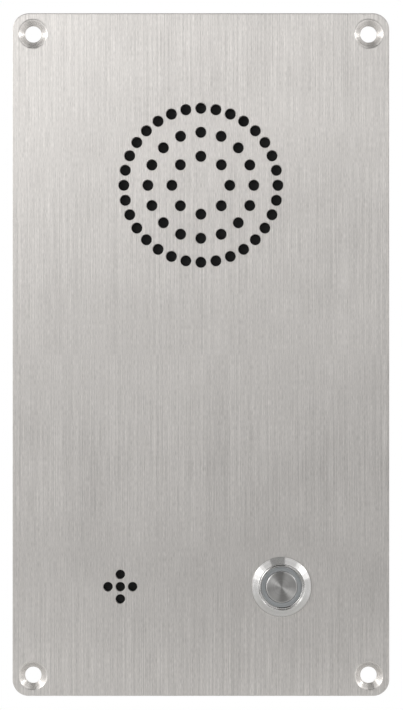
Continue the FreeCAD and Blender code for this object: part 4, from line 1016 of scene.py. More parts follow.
class INTERCOM_OT_gasket(bpy.types.Operator):
    """Closed-cell foam ring between the cover's flange and the plate"""
    bl_idname = "intercom.gasket"
    bl_label = "Foam Gasket"

    def execute(self, context):
        cad, shell, strip = Cad("cover_gasket"), Shell(), 4.0
        inner = rounded(cad.width - 2 * strip, cad.height - 2 * strip, 0.9)
        shell.prism(rounded(cad.width, cad.height, 0.9), cad.front, cad.rear, 0.3, [(inner, None)])
        gasket = shell.piece("foam_gasket_ring", "cover_gasket", "foam", "closed_cell_foam")
        return {"FINISHED"}


class INTERCOM_OT_fasteners(bpy.types.Operator):
    """Threaded weld studs with the nuts of the cover, the strap and the bracket, and the board's screws"""
    bl_idname = "intercom.fasteners"
    bl_label = "Studs, Nuts and Screws"

    def execute(self, context):
        shell = Shell()
        fillet = [(1.0, 0.0), (1.9, 0.0), (1.85, 0.12), (1.6, 0.3), (1.26, 0.55), (M3_ROOT, 0.9)]
        for x, z in COVER_STUDS + STRAP_STUDS + BRACKET_STUDS:
            shell.lathe(fillet, x, z, 24)
            self.thread(shell, 0.9, 6.5, x, z)
            shell.lathe([(M3_ROOT, 6.5), (1.2, 6.8), (1.02, 6.98), (0.9, 7.0), (0, 7.0)], x, z, 20)
        self.keep(shell, "threaded_weld_studs", "weld_studs")
        for node, places in (("cover_nuts", COVER_STUDS), ("bridge_nuts", STRAP_STUDS),
                             ("bracket_nuts", BRACKET_STUDS)):
            cad, shell = Cad(node), Shell()
            for k, (x, z) in enumerate(places):
                hex_nut(shell, M3_FLATS, 1.52, cad.front, cad.rear, x, z, 0.37 * k)
            self.keep(shell, node + "_turned", node)
        cad, shell = Cad("board_screws"), Shell()
        seat, tip = cad.rear - 2.0, cad.front
        dome = np.linspace(0, QUARTER, 8)[:-2]
        head = [(2.75 * math.cos(b) ** 0.6, seat + 0.35 + 1.65 * math.sin(b)) for b in dome]
        flat, top = head[-1]
        head = [(1.4, seat), (2.6, seat), (2.75, seat + 0.12)] + head
        for k, (x, z) in enumerate(board_fixing_places()):
            recess = cross(x, z, 1.25, 0.32, 0.6 * k)
            shell.lathe(head, x, z, 48, 0, [1, 1, 1] + [0] * 6)
            shell.fill([circle(flat, x, z, 48), recess], top)
            shell.wall(recess, [(0, top, 1), (-0.1, top - 0.9, 0)])
            shell.fill([offset(recess, -0.1)], top - 0.9)
            self.thread(shell, tip + 0.4, seat, x, z)
            shell.lathe([(M3_ROOT, tip + 0.4), (1.0, tip + 0.05), (0, tip)], x, z, 20)
        self.keep(shell, "pan_head_board_screws", "board_screws")
        cad, shell = Cad("board_standoffs"), Shell()
        front, rear, tall, land = cad.front, cad.rear, 12.8, M3_FLATS / 2 * 0.98
        drop = np.array([0, 0.1, 0.25, 0.6, 12.2, 12.55, 12.7, tall])[:, None]
        a, flats = hexagon(M3_FLATS, math.pi / 6)
        r = np.minimum(flats, land + np.minimum(drop, tall - drop) * 1.73)
        tapped = [(land, rear), (1.75, rear), (1.55, rear - 0.2), (1.55, rear - 6), (0, rear - 6.6)]
        for x, z in board_fixing_places():
            shell.grid(around(x, z, r, front + drop, a), 0, [1, 1, 0, 0, 0, 0, 1, 1])
            shell.lathe([(land, front), (1.0, front)], x, z, 72)
            shell.lathe(tapped, x, z, 72)
        self.keep(shell, "hex_board_standoffs", "board_standoffs")
        return {"FINISHED"}

    def thread(self, shell, front, rear, x, z):
        """A length of M3 thread."""
        shell.grid(threaded(M3_CREST, M3_PITCH, M3_DEPTH, front, rear, x, z, 20))

    def keep(self, shell, name, node):
        """Places one kind of fastener, all in bright zinc."""
        shell.piece(name, node, "zinc_fastener", "bright_zinc")


class INTERCOM_OT_network_jack(bpy.types.Operator):
    """Screened network jack in the cover's window: folded shell, moulded insert and eight spring wires"""
    bl_idname = "intercom.network_jack"
    bl_label = "Network Jack"

    def execute(self, context):
        cad, shell, t = Cad("jack_shell"), Shell(), 0.35
        x, z, width, height, front, rear = cad.x, cad.z, cad.width, cad.height, cad.front, cad.rear
        outer, inner = rounded(width, height, 0.6, x, z), rounded(width - 2 * t, height - 2 * t, 0.4, x, z)
        for loop, lean in ((outer, -0.08), (inner, 0.08)):
            rows = [(0, front, 1), (0, front + 0.3, 0), (0, rear - 0.4, 0), (0, rear - 0.1, 1),
                    (lean, rear, 1)]
            shell.wall(loop, rows)
        shell.fill([offset(outer, -0.08), offset(inner, 0.08)], rear)
        shell.fill([outer, inner], front)
        shell.piece("jack_screen", "jack_shell", "bright_steel", "nickel_plate")
        floor = z - 4.15
        steps = ((11.7 / 2, 6.7), (6.2 / 2, 1.7), (3.4 / 2, 1.3))
        right, level = [], floor
        for half, tall in steps:
            right += [(half, level), (half, level + tall)]
            level += tall
        opening = np.array([(x + a, b) for a, b in right] + [(x - a, b) for a, b in right[::-1]])
        shell = Shell()
        shell.prism(rounded(width - 2 * t - 0.04, height - 2 * t - 0.04, 0.42, x, z), rear, front, 0.1,
                    [(opening, 13.0)], hole_edge=0.22)
        shell.piece("jack_moulded_insert", "jack_insert", "black_plastic", "black_nylon")
        cad, shell = Cad("jack_contacts"), Shell()
        pitch, low, lift, radius = 1.02, 0.22, 1.55, 0.2
        t, a = np.linspace(0, 1, 22), angles(10)
        line = np.stack([cad.rear - 0.25 - (cad.depth - 0.5) * t,
                         floor + low + (lift - low) * np.clip(t * 1.12, 0, 1) ** 1.3], 1)
        for k in range(8):
            rings = swept(x + (k - 3.5) * pitch, line, radius * np.cos(a), radius * np.sin(a))
            shell.grid(rings)
            close_ends(shell, rings, (1.0, 0.5, 0.0))
        shell.piece("jack_spring_wires", "jack_contacts", "nickel", "gold_flash")
        return {"FINISHED"}


class INTERCOM_OT_terminal_block(bpy.types.Operator):
    """Push-in terminals for power and the door release: four wire entries with their release slots"""
    bl_idname = "intercom.terminal_block"
    bl_label = "Terminal Block"

    def execute(self, context):
        cad, shell, pitch, count = Cad("terminal_block"), Shell(), 5.0, 4
        rear, low, high = cad.rear, cad.bottom, cad.top
        grooves = np.array([(cad.left + k * pitch + dx, dz) for k in range(1, count)
                            for dx, dz in ((-0.3, 0), (-0.12, -0.32), (0.12, -0.32), (0.3, 0))])
        upper, lower = grooves[::-1] + (0, high), grooves * (1, -1) + (0, low)
        corners = rounded(cad.width, cad.height, 0.5, cad.x, cad.z, steps=4)
        outline = np.concatenate([corners[:5], upper, corners[5:15], lower, corners[15:]])
        poles = [cad.x + (k - (count - 1) / 2) * pitch for k in range(count)]
        holes = []
        for pole in poles:
            holes.append((rounded(3.2, 3.2, 0.55, pole, low + 3.2), 9.0))
            holes.append((rounded(2.8, 1.4, 0.4, pole, high - 2.1), 3.0))
        shell.prism(outline, rear, cad.front, 0.14, holes, hole_edge=0.3)
        for pole in poles:
            spring, lever = rounded(2.5, 1.9, 0.3, pole, low + 3.65), rounded(2.2, 0.9, 0.2, pole, high - 2.1)
            shell.prism(spring, rear - 4.2, rear - 8.9, 0.1, slots=(1, 1, 1))
            shell.prism(lever, rear - 1.4, rear - 2.95, 0.08, slots=(2, 2, 2))
        shell.piece("push_in_terminal_block", "terminal_block", "terminal_green",
                    "terminal_green bright_zinc release_lever")
        return {"FINISHED"}


def pressed(r, y, thickness):
    """A thin closed profile: a line of (radius, y) points, the same moved back, and its first point again."""
    line = np.stack([r, y], 1)
    return np.concatenate([line, line[::-1] + (0, thickness), line[:1]])


class INTERCOM_OT_loudspeaker(bpy.types.Operator):
    """Pressed basket, magnet system, paper cone with its roll and spider, dust cap and voice coil"""
    bl_idname = "intercom.loudspeaker"
    bl_label = "Loudspeaker"

    def execute(self, context):
        self.basket(*middle("speaker_frame"))
        turned("speaker_pole_ring", "pole_plate", "passivated_steel", "zinc_steel",
               band(8.1, 13.4, 18, 16.4), 0.3, True)
        turned("speaker_ferrite_ring", "speaker_magnet", "ferrite", "ferrite",
               band(9.5, 16.4, 20, 23.4), 0.5, True)
        turned("speaker_yoke_turned", "speaker_yoke", "passivated_steel", "zinc_steel",
               [(0, 14.0), (6.8, 14.0), (6.8, 23.4), (18, 23.4), (18, 25.9), (0, 25.9)], 0.35)
        t = np.linspace(0, 1, 16)
        cone = pressed(7.2 + (25.0 - 7.2) * t, 8.2 - 6.0 * t - 0.35 * np.sin(math.pi * t), 0.4)
        self.moving("speaker_paper_cone", "speaker_cone", "pressed_paper", "paper_cone", cone, 120)
        bulge = np.linspace(math.radians(20), math.pi, 14)
        crown, half = 26.65, 1.75
        roll = 2.35 - 0.95 * np.sin(bulge) - 0.30 * (half - half * np.cos(bulge)) / (2 * half)
        roll = pressed(np.concatenate([[30.4, 29.4, 28.4], crown + half * np.cos(bulge), [24.6]]),
                       np.concatenate([[2.5, 2.5, 2.5], roll, [2.04]]), 0.14)
        surround = self.moving("speaker_cone_roll", "cone_surround", "coated_cloth", "treated_cloth", roll,
                               120, None)
        z = middle("speaker_frame")[1]
        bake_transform(surround)
        t = np.linspace(0, 1, 60)
        ripple = 0.42 * np.sin(2 * math.pi * 4.5 * t) * np.clip(np.minimum(t, 1 - t) * 9, 0, 1)
        rings = pressed(7.75 + (18.0 - 7.75) * t,
                        10.05 + (12.35 - 10.05) * np.clip((t - 0.06) / 0.82, 0, 1) + ripple, 0.22)
        spider = self.moving("speaker_spider_rings", "cone_spider", "varnished_cloth", "treated_cloth", rings,
                             96, None)
        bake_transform(spider)
        t, cad = np.linspace(0, QUARTER, 14), Cad("dust_cap")
        dome = pressed(9.2 * np.sin(t), cad.front + (cad.depth - 0.3) * (1 - np.cos(t)), 0.3)[:-1]
        self.moving("speaker_dust_dome", "dust_cap", "pressed_paper", "paper_cone", dome, 72)
        cad, first, last, turns = Cad("voice_coil"), 12.9, 16.9, 15
        y = np.linspace(first, last, turns * 4 + 1)
        wound = np.stack([7.55 + 0.13 * np.abs(np.sin(math.pi * (y - first) * turns / (last - first))), y], 1)
        coil = [(7.2, cad.front), (7.45, cad.front), (7.5, first), *wound, (7.45, cad.rear), (7.2, cad.rear),
                (7.2, cad.front)]
        self.moving("speaker_coil_winding", "voice_coil", "enamelled_copper", "copper", coil, 72)
        return {"FINISHED"}

    def moving(self, name, node, key, slot, profile, count, body="cone"):
        """A profile turned about the loudspeaker's axis: a piece attached to the cone's body, or to none when
        body is None.
        """
        shell = Shell()
        shell.lathe(profile, *middle("speaker_frame"), count)
        return shell.piece(name, node, slot, key, body)

    def basket(self, x, z):
        """The frame: its rim and its rear dish turned, and four arms between them."""
        shell = Shell()
        upper = [(31.0, 0.6), (33.0, 0.6), (33.0, 3.4), (29.3, 3.4), (26.9, 5.4), (26.4, 5.1), (28.4, 2.6),
                 (31.0, 2.6)]
        lower = [(20.8, 10.1), (21.5, 10.5), (18.8, 13.4), (8.1, 13.4), (8.1, 12.6), (18.0, 12.6)]
        for profile in (upper, lower):
            shell.eased(profile, 0.25, x, z, 120, True)
        arm = np.array([(26.75, 5.0), (27.15, 5.35), (21.25, 10.65), (20.75, 10.3), (26.75, 5.0)])
        side = arm[[[0, 1], [3, 2]]]
        for k in range(4):
            a = QUARTER * k + np.radians(np.linspace(-19, 19, 13))
            shell.grid(around(x, z, arm[:, :1], arm[:, 1:], a), 0, 0.0, False)
            for b in (a[0], a[-1]):
                shell.grid(around(x, z, side[..., 0], side[..., 1], b), 0, 1.0, False)
        shell.piece("speaker_basket", "speaker_frame", "pressed_steel", "pressed_steel")


class INTERCOM_OT_microphone(bpy.types.Operator):
    """Rubber boot and electret capsule behind the microphone's holes"""
    bl_idname = "intercom.microphone"
    bl_label = "Microphone"

    def execute(self, context):
        cad, ribs = Cad("microphone_boot"), []
        front, rear, outer = cad.front, cad.rear, cad.width / 2
        for y in front + 1.6 + 1.9 * np.arange(4):
            ribs += [(outer, y), (outer - 0.45, y + 0.3), (outer - 0.45, y + 0.7), (outer, y + 1.0)]
        turned("microphone_ribbed_boot", "microphone_boot", "black_rubber", "rubber",
               [(6.75, front), (outer, front), *ribs, (outer, rear), (4.9, rear), (4.9, front + 2.5),
                (6.75, front + 2.5)], 0.3, True)
        cad, shell = Cad("microphone_capsule"), Shell()
        front, rear, radius = cad.front, cad.rear, cad.width / 2
        can = [(0, front + 0.35), (3.4, front + 0.35), (3.6, front), (radius, front), (radius, rear),
               (radius - 0.6, rear), (radius - 0.7, rear - 0.3), (0, rear - 0.3)]
        shell.eased(can, 0.2, cad.x, cad.z, 72)
        for side in SIDES:
            pad = circle(1.1, cad.x + side * 1.9, cad.z, 24)
            shell.prism(pad, rear - 0.32, rear - 0.02, 0.1, slots=(1, 1, 1))
        shell.piece("microphone_capsule_can", "microphone_capsule", "capsule_can", "aluminium_can solder")
        return {"FINISHED"}


class INTERCOM_OT_switch_parts(bpy.types.Operator):
    """Nut, seals, lamp ring, plunger, collar, spring, base and plug of the push switch"""
    bl_idname = "intercom.switch_parts"
    bl_label = "Inside of the Switch"

    def execute(self, context):
        x, z = here = middle("button_cap")
        cad, shell = Cad("switch_nut"), Shell()
        hex_nut(shell, 22.0, 9.5, cad.front, cad.rear, x, z, math.pi / 6)
        shell.piece("switch_hex_nut", "switch_nut", "nickel", "nickelled_brass")
        plunger = [(0, -4.0), (5.75, -4.0), (5.75, -1.6), (4.35, -1.6), (4.35, 4.0), (3.45, 4.0), (3.45, 5.0),
                   (4.35, 5.0), (4.35, 8.0), (2.2, 8.0), (2.2, 15.0), (0, 15.0)]
        base = [(0, 20.0), (5.1, 20.0), (5.1, 14.0), (8.2, 14.0), (8.2, 20.0), (9.45, 20.0), (9.45, 24.0),
                (0, 24.0)]
        for name, node, key, slot, profile, radius, closed, body in (
                ("switch_flat_seal", "switch_seal", "black_rubber", "rubber",
                 band(9.65, -3.5, 10.6, -3.0), 0.15, True, "case"),
                ("plunger_lip_seal", "plunger_seal", "black_rubber", "rubber",
                 band(3.45, 4.0, 4.4, 5.0), 0.45, True, "button"),
                ("button_plunger_turned", "button_plunger", "white_acetal", "acetal",
                 plunger, 0.15, False, "button"),
                ("plunger_stop_collar", "plunger_collar", "nickelled_brass", "nickel",
                 band(2.2, 8.05, 5.5, 9.25), 0.2, True, "button"),
                ("lamp_ring_board", "led_board", "white_solder_mask", "circuit_board",
                 band(5.55, 2.0, 7.75, 3.0), 0.08, True, "case"),
                ("switch_moulded_base", "switch_base", "black_nylon", "black_plastic",
                 base, 0.25, False, "case")):
            turned(name, node, key, slot, profile, radius, closed, body, here)
        spring = self.spring(x, z, 9.25, 20.0, 4.5, 0.3, 6.5)
        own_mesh(spring)
        shell = Shell()
        for k in range(4):
            a = QUARTER * (k + 0.5)
            px, pz = x + 6.65 * math.cos(a), z + 6.65 * math.sin(a)
            shell.prism(rounded(1.6, 1.6, 0.28, px, pz), 1.2, 2.0, 0.08, [(circle(0.58, px, pz, 20), 0.12)],
                        hole_edge=0.04)
            shell.prism(circle(0.5, px, pz, 20), 1.26, 1.5, 0.04, slots=(1, 1, 1))
        shell.piece("ring_lamp_packages", "ring_leds", "lamp_white", "white_package lamp_phosphor")
        cad, shell = Cad("switch_plug"), Shell()
        shell.prism(rounded(cad.width, cad.height, 1.0, x, z), cad.front, cad.rear, 0.4)
        for y in cad.front + 1.3 * np.arange(1, 4):
            shell.prism(rounded(cad.width, cad.height - 3.0, 0.5, x, z), y, y + 0.6, 0.15)
        shell.piece("switch_lead_plug", "switch_plug", "black_plastic", "grey_nylon")
        return {"FINISHED"}

    def spring(self, x, z, front, rear, radius, wire_radius, turns):
        """A coil spring: circles of the wire set across a helix whose rise is slow in its two end turns."""
        share = turns * np.linspace(0, 1, int(turns * 32) + 1)
        ends = (0, 0.8, 1.3, turns - 1.3, turns - 0.8, turns)
        speed = np.interp(share, ends, (0.12, 0.12, 1, 1, 0.12, 0.12))
        rise = np.concatenate([[0], np.cumsum((speed[1:] + speed[:-1]) / 2)])
        y = front + wire_radius + (rear - front - 2 * wire_radius) * rise / rise[-1]
        a = 2 * math.pi * share
        centre = np.stack([x + radius * np.cos(a), y, z + radius * np.sin(a)], 1)
        tangent = np.gradient(centre, axis=0)
        tangent /= np.linalg.norm(tangent, axis=1)[:, None]
        out = np.stack([np.cos(a), 0 * a, np.sin(a)], 1)
        side = np.cross(tangent, out)
        b = angles(12)[None, :, None]
        rings = centre[:, None] + wire_radius * (np.cos(b) * out[:, None] + np.sin(b) * side[:, None])
        shell = Shell()
        shell.grid(rings)
        close_ends(shell, rings, (1.0, 0.5, 0.0))
        return shell.piece("coil_return_spring", "return_spring", "bright_steel", "spring_steel")


class INTERCOM_OT_electronics(bpy.types.Operator):
    """Circuit board with its chips, transformer, relay, capacitors and wire sockets"""
    bl_idname = "intercom.electronics"
    bl_label = "Electronics"

    def execute(self, context):
        cad, shell = Cad("main_board"), Shell()
        holes = [(circle(1.7, x, z, 32), None) for x, z in board_fixing_places()]
        outline = rounded(cad.width, cad.height, 1.5, cad.x, cad.z)
        shell.prism(outline, cad.front, cad.rear, 0.08, holes, (0, 1, 0))
        shell.piece("main_circuit_board", "main_board", "circuit_board", "green_solder_mask glass_laminate")
        self.chips(cad.rear)
        self.block("power_transformer", "board_power_transformer", "black_epoxy", "black_plastic", 0.8, 2)
        self.block("door_relay", "door_relay_case", "relay_blue", "relay_blue", 0.7, 1)
        cad, shell = Cad("board_capacitors"), Shell()
        front, rear, lid = cad.front, cad.rear, cad.rear - 0.1
        for z in (cad.bottom + 4, cad.top - 4):
            shell.eased([(0, front), (3.7, front), (4.0, front + 0.3), (4.0, front + 1.2), (3.7, front + 1.7),
                         (4.0, front + 2.2), (4.0, rear), (3.2, rear)], 0.3, 0, z, 64)
            vent = cross(0, z, 2.4, 0.09)
            shell.lathe([(3.2, rear), (3.15, lid), (3.0, lid)], 0, z, 64, 1)
            shell.fill([circle(3.0, 0, z, 64), vent], lid, 1)
            shell.wall(vent, [(0, lid, 1), (-0.06, lid - 0.18, 0)], 1)
            shell.fill([offset(vent, -0.06)], lid - 0.18, 1)
        shell.piece("board_sleeved_capacitors", "board_capacitors", "black_plastic",
                    "capacitor_sleeve aluminium_can")
        cad, shell = Cad("board_sockets"), Shell()
        for x, z in ((0, cad.top - 2.25), (-29.5, cad.bottom + 2.25), (29.5, cad.bottom + 2.25)):
            shell.prism(rounded(7.5, 4.5, 0.5, x, z), cad.rear, cad.front, 0.12,
                        [(rounded(6.2, 3.2, 0.4, x, z), 3.2)], hole_edge=0.15)
            for k in (-1, 0, 1):
                shell.prism(rounded(0.6, 0.6, 0.15, x + 1.8 * k, z), cad.rear - 1.2, cad.rear - 3.3, 0.06,
                            slots=(1, 1, 1))
        shell.piece("board_wire_sockets", "board_sockets", "black_plastic", "ivory_nylon solder")
        return {"FINISHED"}

    def chips(self, board):
        """Three packages with a pin mark and pins on two sides, and on all four of the largest."""
        shell = Shell()
        for cx, cz, w, h, t, pins in ((1.7, -39.8, 14, 14, 1.4, 13), (22.7, -39.8, 10, 6, 1.2, 10),
                                      (22.7, -50.7, 6, 6, 1.0, 7)):
            shell.prism(rounded(w - 1.6, h - 1.6, 0.5, cx, cz), board + t, board + 0.12, 0.15,
                        [(circle(0.5, cx - w / 2 + 2, cz + h / 2 - 2, 20), 0.12)], hole_edge=0.05)
            row = (np.arange(pins) - (pins - 1) / 2) * ((min(w, h) - 3.4) / (pins - 1))
            for side in SIDES:
                for k in row:
                    places = [(0.8, 0.24, side * (w / 2 - 0.45), k)]
                    if w > 12:
                        places.append((0.24, 0.8, k, side * (h / 2 - 0.45)))
                    for wide, tall, dx, dz in places:
                        shell.prism(rounded(wide, tall, 0.1, cx + dx, cz + dz), board + 0.45, board, 0.04,
                                    slots=(1, 1, 1))
        shell.piece("board_chip_packages", "board_chips", "black_plastic", "black_epoxy solder")

    def block(self, node, name, key, slot, corner, steps):
        """A moulded case in one or two steps, each a little smaller than the one before."""
        cad, shell = Cad(node), Shell()
        front, rear = cad.front, cad.rear
        lower = rounded(cad.width, cad.height, corner, cad.x, cad.z)
        upper = rounded(cad.width - 2.4, cad.height - 1.6, corner, cad.x, cad.z)
        shell.prism(lower, rear if steps == 1 else front + cad.depth * 0.35, front, 0.25)
        if steps == 2:
            shell.prism(upper, rear, front + cad.depth * 0.34, 0.3)
        shell.piece(name, node, slot, key)


class INTERCOM_OT_folded_parts(bpy.types.Operator):
    """Strap, bracket, tags, pins, blades and contacts: their CAD shapes with worn edges"""
    bl_idname = "intercom.folded_parts"
    bl_label = "Folded and Stamped Parts"

    def execute(self, context):
        for node, name, body, slot, key, width in (
                ("speaker_bridge", "speaker_clamp_strap", "case", "zinc_steel", "passivated_steel", 0.3),
                ("microphone_bracket", "microphone_holding_bracket", "case", "zinc_steel", "passivated_steel",
                 0.25),
                ("speaker_tags", "speaker_solder_tags", "case", "black_plastic", "paper_laminate", 0.12),
                ("led_pins", "lamp_ring_pins", "case", "bright_steel", "silver_contact", 0.08),
                ("switch_contacts", "switch_fixed_contacts", "case", "bright_steel", "silver_contact", 0.06),
                ("lamp_blades", "switch_lamp_blades", "case", "bright_steel", "silver_contact", 0.08),
                ("contact_bridge", "moving_contact_bridge", "button", "bright_steel", "silver_contact",
                 0.06)):
            placed(name, self.softened(node, name, key, width), node, body, SHARP_FOLD)
        return {"FINISHED"}

    def softened(self, node, name, key, width):
        """A copy of the CAD node, merged, with each edge of over 30 degrees rounded by width."""
        work = bmesh.new()
        work.from_mesh(bpy.data.objects[node].data)
        bmesh.ops.remove_doubles(work, verts=work.verts, dist=2 * WELD)
        bmesh.ops.dissolve_limit(work, angle_limit=math.radians(1), verts=work.verts, edges=work.edges)
        sharp = [e for e in work.edges if len(e.link_faces) == 2 and e.calc_face_angle() > math.radians(30)]
        made = bmesh.ops.bevel(work, geom=sharp, offset=width * MM, offset_type="OFFSET", segments=2,
                               profile=0.5, affect="EDGES", clamp_overlap=True)
        worn = work.verts.layers.float.new("edge")
        for face in made["faces"]:
            for vert in face.verts:
                vert[worn] = 1.0
        bmesh.ops.recalc_face_normals(work, faces=work.faces)
        mesh = bpy.data.meshes.new(name)
        work.to_mesh(mesh)
        work.free()
        mesh.materials.clear()
        mesh.materials.append(finish(key))
        mesh.polygons.foreach_set("material_index", np.zeros(len(mesh.polygons), np.int32))
        return mesh


class INTERCOM_OT_leads(bpy.types.Operator):
    """Three-core ribbon leads with their plugs, from the board to the loudspeaker, microphone and switch"""
    bl_idname = "intercom.leads"
    bl_label = "Ribbon Leads"

    def execute(self, context):
        for node, name, places in (
                ("speaker_lead", "speaker_ribbon_lead",
                 ((4.6, 31.3), (24.8, 31.3), (24.8, 13.0), (20.4, 13.0))),
                ("microphone_lead", "microphone_ribbon_lead",
                 ((9.5, -85), (24.8, -85), (24.8, -59), (20.4, -59))),
                ("switch_lead", "switch_ribbon_lead", ((26.8, -77.75), (26.8, -59), (20.4, -59)))):
            x, shell = middle(node)[0], Shell()
            rings = swept(x, self.route(name, places), *self.section(0.6))
            shell.grid(rings)
            close_ends(shell, rings, (1.0, 0.0))
            shell.prism(rounded(5.6, 2.8, 0.3, x, places[-1][1]), 21.2, 17.6, 0.12, slots=(1, 1, 1))
            shell.piece(name, node, "lead_sheath", "grey_sheath ivory_nylon")
        return {"FINISHED"}

    def route(self, name, places):
        """The smooth curve of degree two that the lead's (y, z) places pull on, as (y, z) points along it."""
        curve = bpy.data.curves.new(name + "_route", "CURVE")
        curve.dimensions = "3D"
        spline = curve.splines.new("NURBS")
        spline.points.add(len(places) - 1)
        for point, (y, z) in zip(spline.points, places):
            point.co = (0.0, y, z, 1.0)
        spline.order_u, spline.use_endpoint_u, spline.resolution_u = 3, True, 12
        holder = bpy.data.objects.new(name + "_route", curve)
        mesh = bpy.data.meshes.new_from_object(holder)
        line = np.array([tuple(v.co) for v in mesh.vertices])[:, 1:]
        bpy.data.objects.remove(holder)
        bpy.data.meshes.remove(mesh)
        return line

    def section(self, radius):
        """Three cores side by side: half the thickness is the nearest core's, or the web's if it is less."""
        a = angles(48)
        across = 3 * radius * np.cos(a)
        near = across - 2 * radius * np.clip(np.round(across / (2 * radius)), -1, 1)
        web = 0.5 * radius * np.minimum(1, 6 * np.abs(np.sin(a)))
        half = np.maximum(np.sqrt(np.clip(radius**2 - near**2, 0, None)), web)
        return across, np.sign(np.sin(a)) * half * (np.abs(np.sin(a)) > 1e-6)


def staged(name, mesh):
    """Puts the floor or a card in the scene, which isn't part of the object."""
    thing = bpy.data.objects.new(name, mesh)
    bpy.context.scene.collection.objects.link(thing)
    return thing


class INTERCOM_OT_stage(bpy.types.Operator):
    """Pale floor, white surroundings, six soft lamps, the cards that the steel mirrors, and the camera"""
    bl_idname = "intercom.stage"
    bl_label = "Stage, Lamps and Camera"

    def execute(self, context):
        scene, held = context.scene, context.scene.intercom_stage
        scene.view_settings.view_transform = "Standard"
        low = CAD_BOX[0][2] - held.floor_drop
        self.surroundings(scene)
        self.floor(low)
        for name, first, last, key in (("overhead_card", 1.5, 56, "black_felt"),
                                       ("ceiling_card", 56, 104, "slate_card")):
            a, radius = np.radians(np.linspace(first, last, 20)), 1.4
            halves = np.interp(a, (0.02, 0.12, 0.4, 0.9), (0.09, 0.26, 0.26, 0.42))
            shift = np.interp(a, (0.05, 0.5, 1.0), (0.02, -0.07, -0.16))
            self.card(name, np.stack([-radius * np.cos(a), radius * np.sin(a)], 1), halves, key, shift)
        self.card("right_card", np.array([(-1.1, -0.12), (-1.1, 0.30)]), np.array([0.42, 0.42]),
                  "slate_card", 0.86)
        rise = np.array([(-0.28, 0.004), (-0.6, 0.004), (-1.2, 0.064), (-1.6, 0.144)]) + (0.0, low)
        self.card("front_card", rise, np.array([0.5, 0.6, 0.9, 1.1]), "grey_felt")
        self.card("front_strip", rise + (0.0, 0.004), np.array([0.05, 0.12, 0.22, 0.28]), "black_felt",
                  np.array([0.045, 0.055, 0.06, 0.06]))
        for name, place, size, power in (
                ("left_softbox", (-0.46, -0.14, 0.19), (0.24, 0.34), held.left_lamp),
                ("right_softbox", (0.46, -0.14, 0.19), (0.24, 0.36), held.right_lamp),
                ("left_core", (-0.45, -0.12, 0.20), (0.14, 0.14), held.core_lamp),
                ("right_core", (0.45, -0.12, 0.20), (0.14, 0.14), held.core_lamp * 0.9),
                ("upper_fill", (-0.72, -0.92, 0.35), (0.70, 0.40), held.fill_lamp * 1.6),
                ("lower_fill", (-0.95, -0.80, 0.02), (0.50, 0.40), held.fill_lamp * 0.7)):
            lamp = bpy.data.lights.new(name, "AREA")
            lamp.shape, lamp.size, lamp.size_y, lamp.energy = "RECTANGLE", *size, power
            thing = bpy.data.objects.new(name, lamp)
            scene.collection.objects.link(thing)
            thing.location = place
            thing.rotation_euler = (-thing.location).to_track_quat("-Z", "Y").to_euler()
        self.camera(scene, held.distance)
        return {"FINISHED"}

    def camera(self, scene, distance):
        """A lens square to the plate: the frame is 710 pixels high, at 2731 pixels to a metre of its face."""
        sensor, frame_height = 36.0, 710 / 2731.0
        camera = bpy.data.objects.new("camera", bpy.data.cameras.new("camera"))
        scene.collection.objects.link(camera)
        camera.location = (0.00022, CAD_BOX[0][1] + 0.0022 - distance, -0.00015)
        camera.rotation_euler = (QUARTER, 0.0, 0.0)
        camera.data.sensor_width, camera.data.lens = sensor, sensor * distance / frame_height
        camera.data.clip_start, camera.data.clip_end = 0.01, 20.0
        scene.camera = camera

    def seen(self, net):
        """1 for the rays that show the background itself: camera, glossy and transmission rays."""
        path = net.add("LightPath").outputs
        either = net.math("MAXIMUM", path["Is Camera Ray"], path["Is Glossy Ray"])
        return net.math("MAXIMUM", either, path["Is Transmission Ray"])

    def surroundings(self, scene):
        """White where it is seen, and a plain level as light."""
        world = bpy.data.worlds.new("white_surroundings")
        world.use_nodes = True
        scene.world = world
        net = Net(world.node_tree)
        strength = net.spread(self.seen(net), 0.0, 1.0, 0.8, 1.0)
        net.join(world.node_tree.nodes["Background"], {"Color": (1.0, 1.0, 1.0, 1.0), "Strength": strength})

    def floor(self, level):
        """A round sheet of paper over two parameters, radius and turn, whiter away from the object."""
        r, a = np.linspace(0, 1, 24)[:, None] ** 2 * 4.0, angles(96)
        points = np.stack(np.broadcast_arrays(r * np.cos(a), r * np.sin(a), level), -1)
        shell = Shell()
        shell.grid(points)
        mesh = bpy.data.meshes.new("floor")
        mesh.from_pydata(shell.points[0].tolist(), [], shell.faces[0][0].tolist())
        cleaned(mesh)
        paper = finish("paper")
        net = Net(paper.node_tree)
        x, y, _ = net.parts(net.add("TexCoord").outputs["Object"])
        share = net.times(net.spread(net.away(x, y), 0.11, 0.25), self.seen(net))
        glow = net.add("Emission", {"Color": (1.0, 1.0, 1.0, 1.0), "Strength": 1.0})
        own = paper.node_tree.nodes["Principled BSDF"]
        both = net.add("MixShader", {0: share, 1: own.outputs[0], 2: glow.outputs[0]})
        net.join(paper.node_tree.nodes["Material Output"], {"Surface": both.outputs[0]})
        mesh.materials.append(paper)
        staged("floor", mesh)

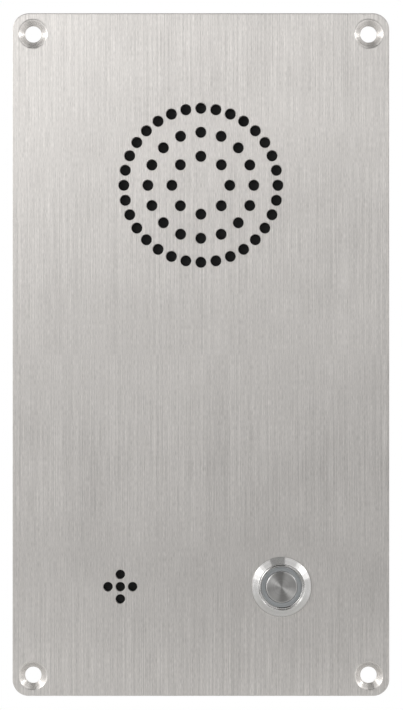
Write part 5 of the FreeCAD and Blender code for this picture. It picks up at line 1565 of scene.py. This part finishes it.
    def card(self, name, line, halves, key, shift=0.0):
        """A card that the camera doesn't see: a line of (y, z) points widened to each side along X."""
        x = np.stack([shift - halves, shift + halves], 1)
        points = np.stack([x, np.repeat(line[:, :1], 2, 1), np.repeat(line[:, 1:], 2, 1)], -1)
        i = np.arange(len(line) - 1)
        mesh = bpy.data.meshes.new(name)
        mesh.from_pydata(points.reshape(-1, 3).tolist(), [],
                         np.stack([2 * i, 2 * i + 1, 2 * i + 3, 2 * i + 2], 1).tolist())
        mesh.materials.append(finish(key))
        staged(name, mesh).visible_camera = False


STEPS = (
    INTERCOM_OT_stage, INTERCOM_OT_front_plate, INTERCOM_OT_cloths, INTERCOM_OT_switch_housing,
    INTERCOM_OT_button, INTERCOM_OT_rear_cover, INTERCOM_OT_gasket, INTERCOM_OT_fasteners,
    INTERCOM_OT_network_jack,
    INTERCOM_OT_terminal_block, INTERCOM_OT_loudspeaker, INTERCOM_OT_microphone, INTERCOM_OT_switch_parts,
    INTERCOM_OT_electronics, INTERCOM_OT_folded_parts, INTERCOM_OT_leads)
GROUPS_OF_SETTINGS = {"intercom_plate": PlateSettings, "intercom_switch": SwitchSettings,
                      "intercom_cover": CoverSettings, "intercom_stage": StageSettings}


class INTERCOM_PT_panel(bpy.types.Panel):
    """The intercom's tools and settings in the sidebar"""
    bl_label = "Wall Intercom"
    bl_idname = "INTERCOM_PT_panel"
    bl_space_type = "VIEW_3D"
    bl_region_type = "UI"
    bl_category = "Intercom"

    def draw(self, context):
        for step in STEPS:
            self.layout.operator(step.bl_idname)
        for key, kind in GROUPS_OF_SETTINGS.items():
            held = getattr(context.scene, key)
            area = self.layout.box()
            for name in kind.__annotations__:
                area.prop(held, name)


def register():
    """Adds the classes and the scene's settings."""
    for kind in (*GROUPS_OF_SETTINGS.values(), *STEPS, INTERCOM_PT_panel):
        bpy.utils.register_class(kind)
    for key, kind in GROUPS_OF_SETTINGS.items():
        setattr(bpy.types.Scene, key, PointerProperty(type=kind))


def unregister():
    """Takes them away again."""
    for key in GROUPS_OF_SETTINGS:
        delattr(bpy.types.Scene, key)
    for kind in (INTERCOM_PT_panel, *STEPS[::-1], *GROUPS_OF_SETTINGS.values()):
        bpy.utils.unregister_class(kind)


def main():
    """Builds everything with the tools of the panel."""
    register()
    for step in STEPS:
        getattr(bpy.ops.intercom, step.bl_idname.split(".")[1])()


if __name__ == "__main__":
    main()
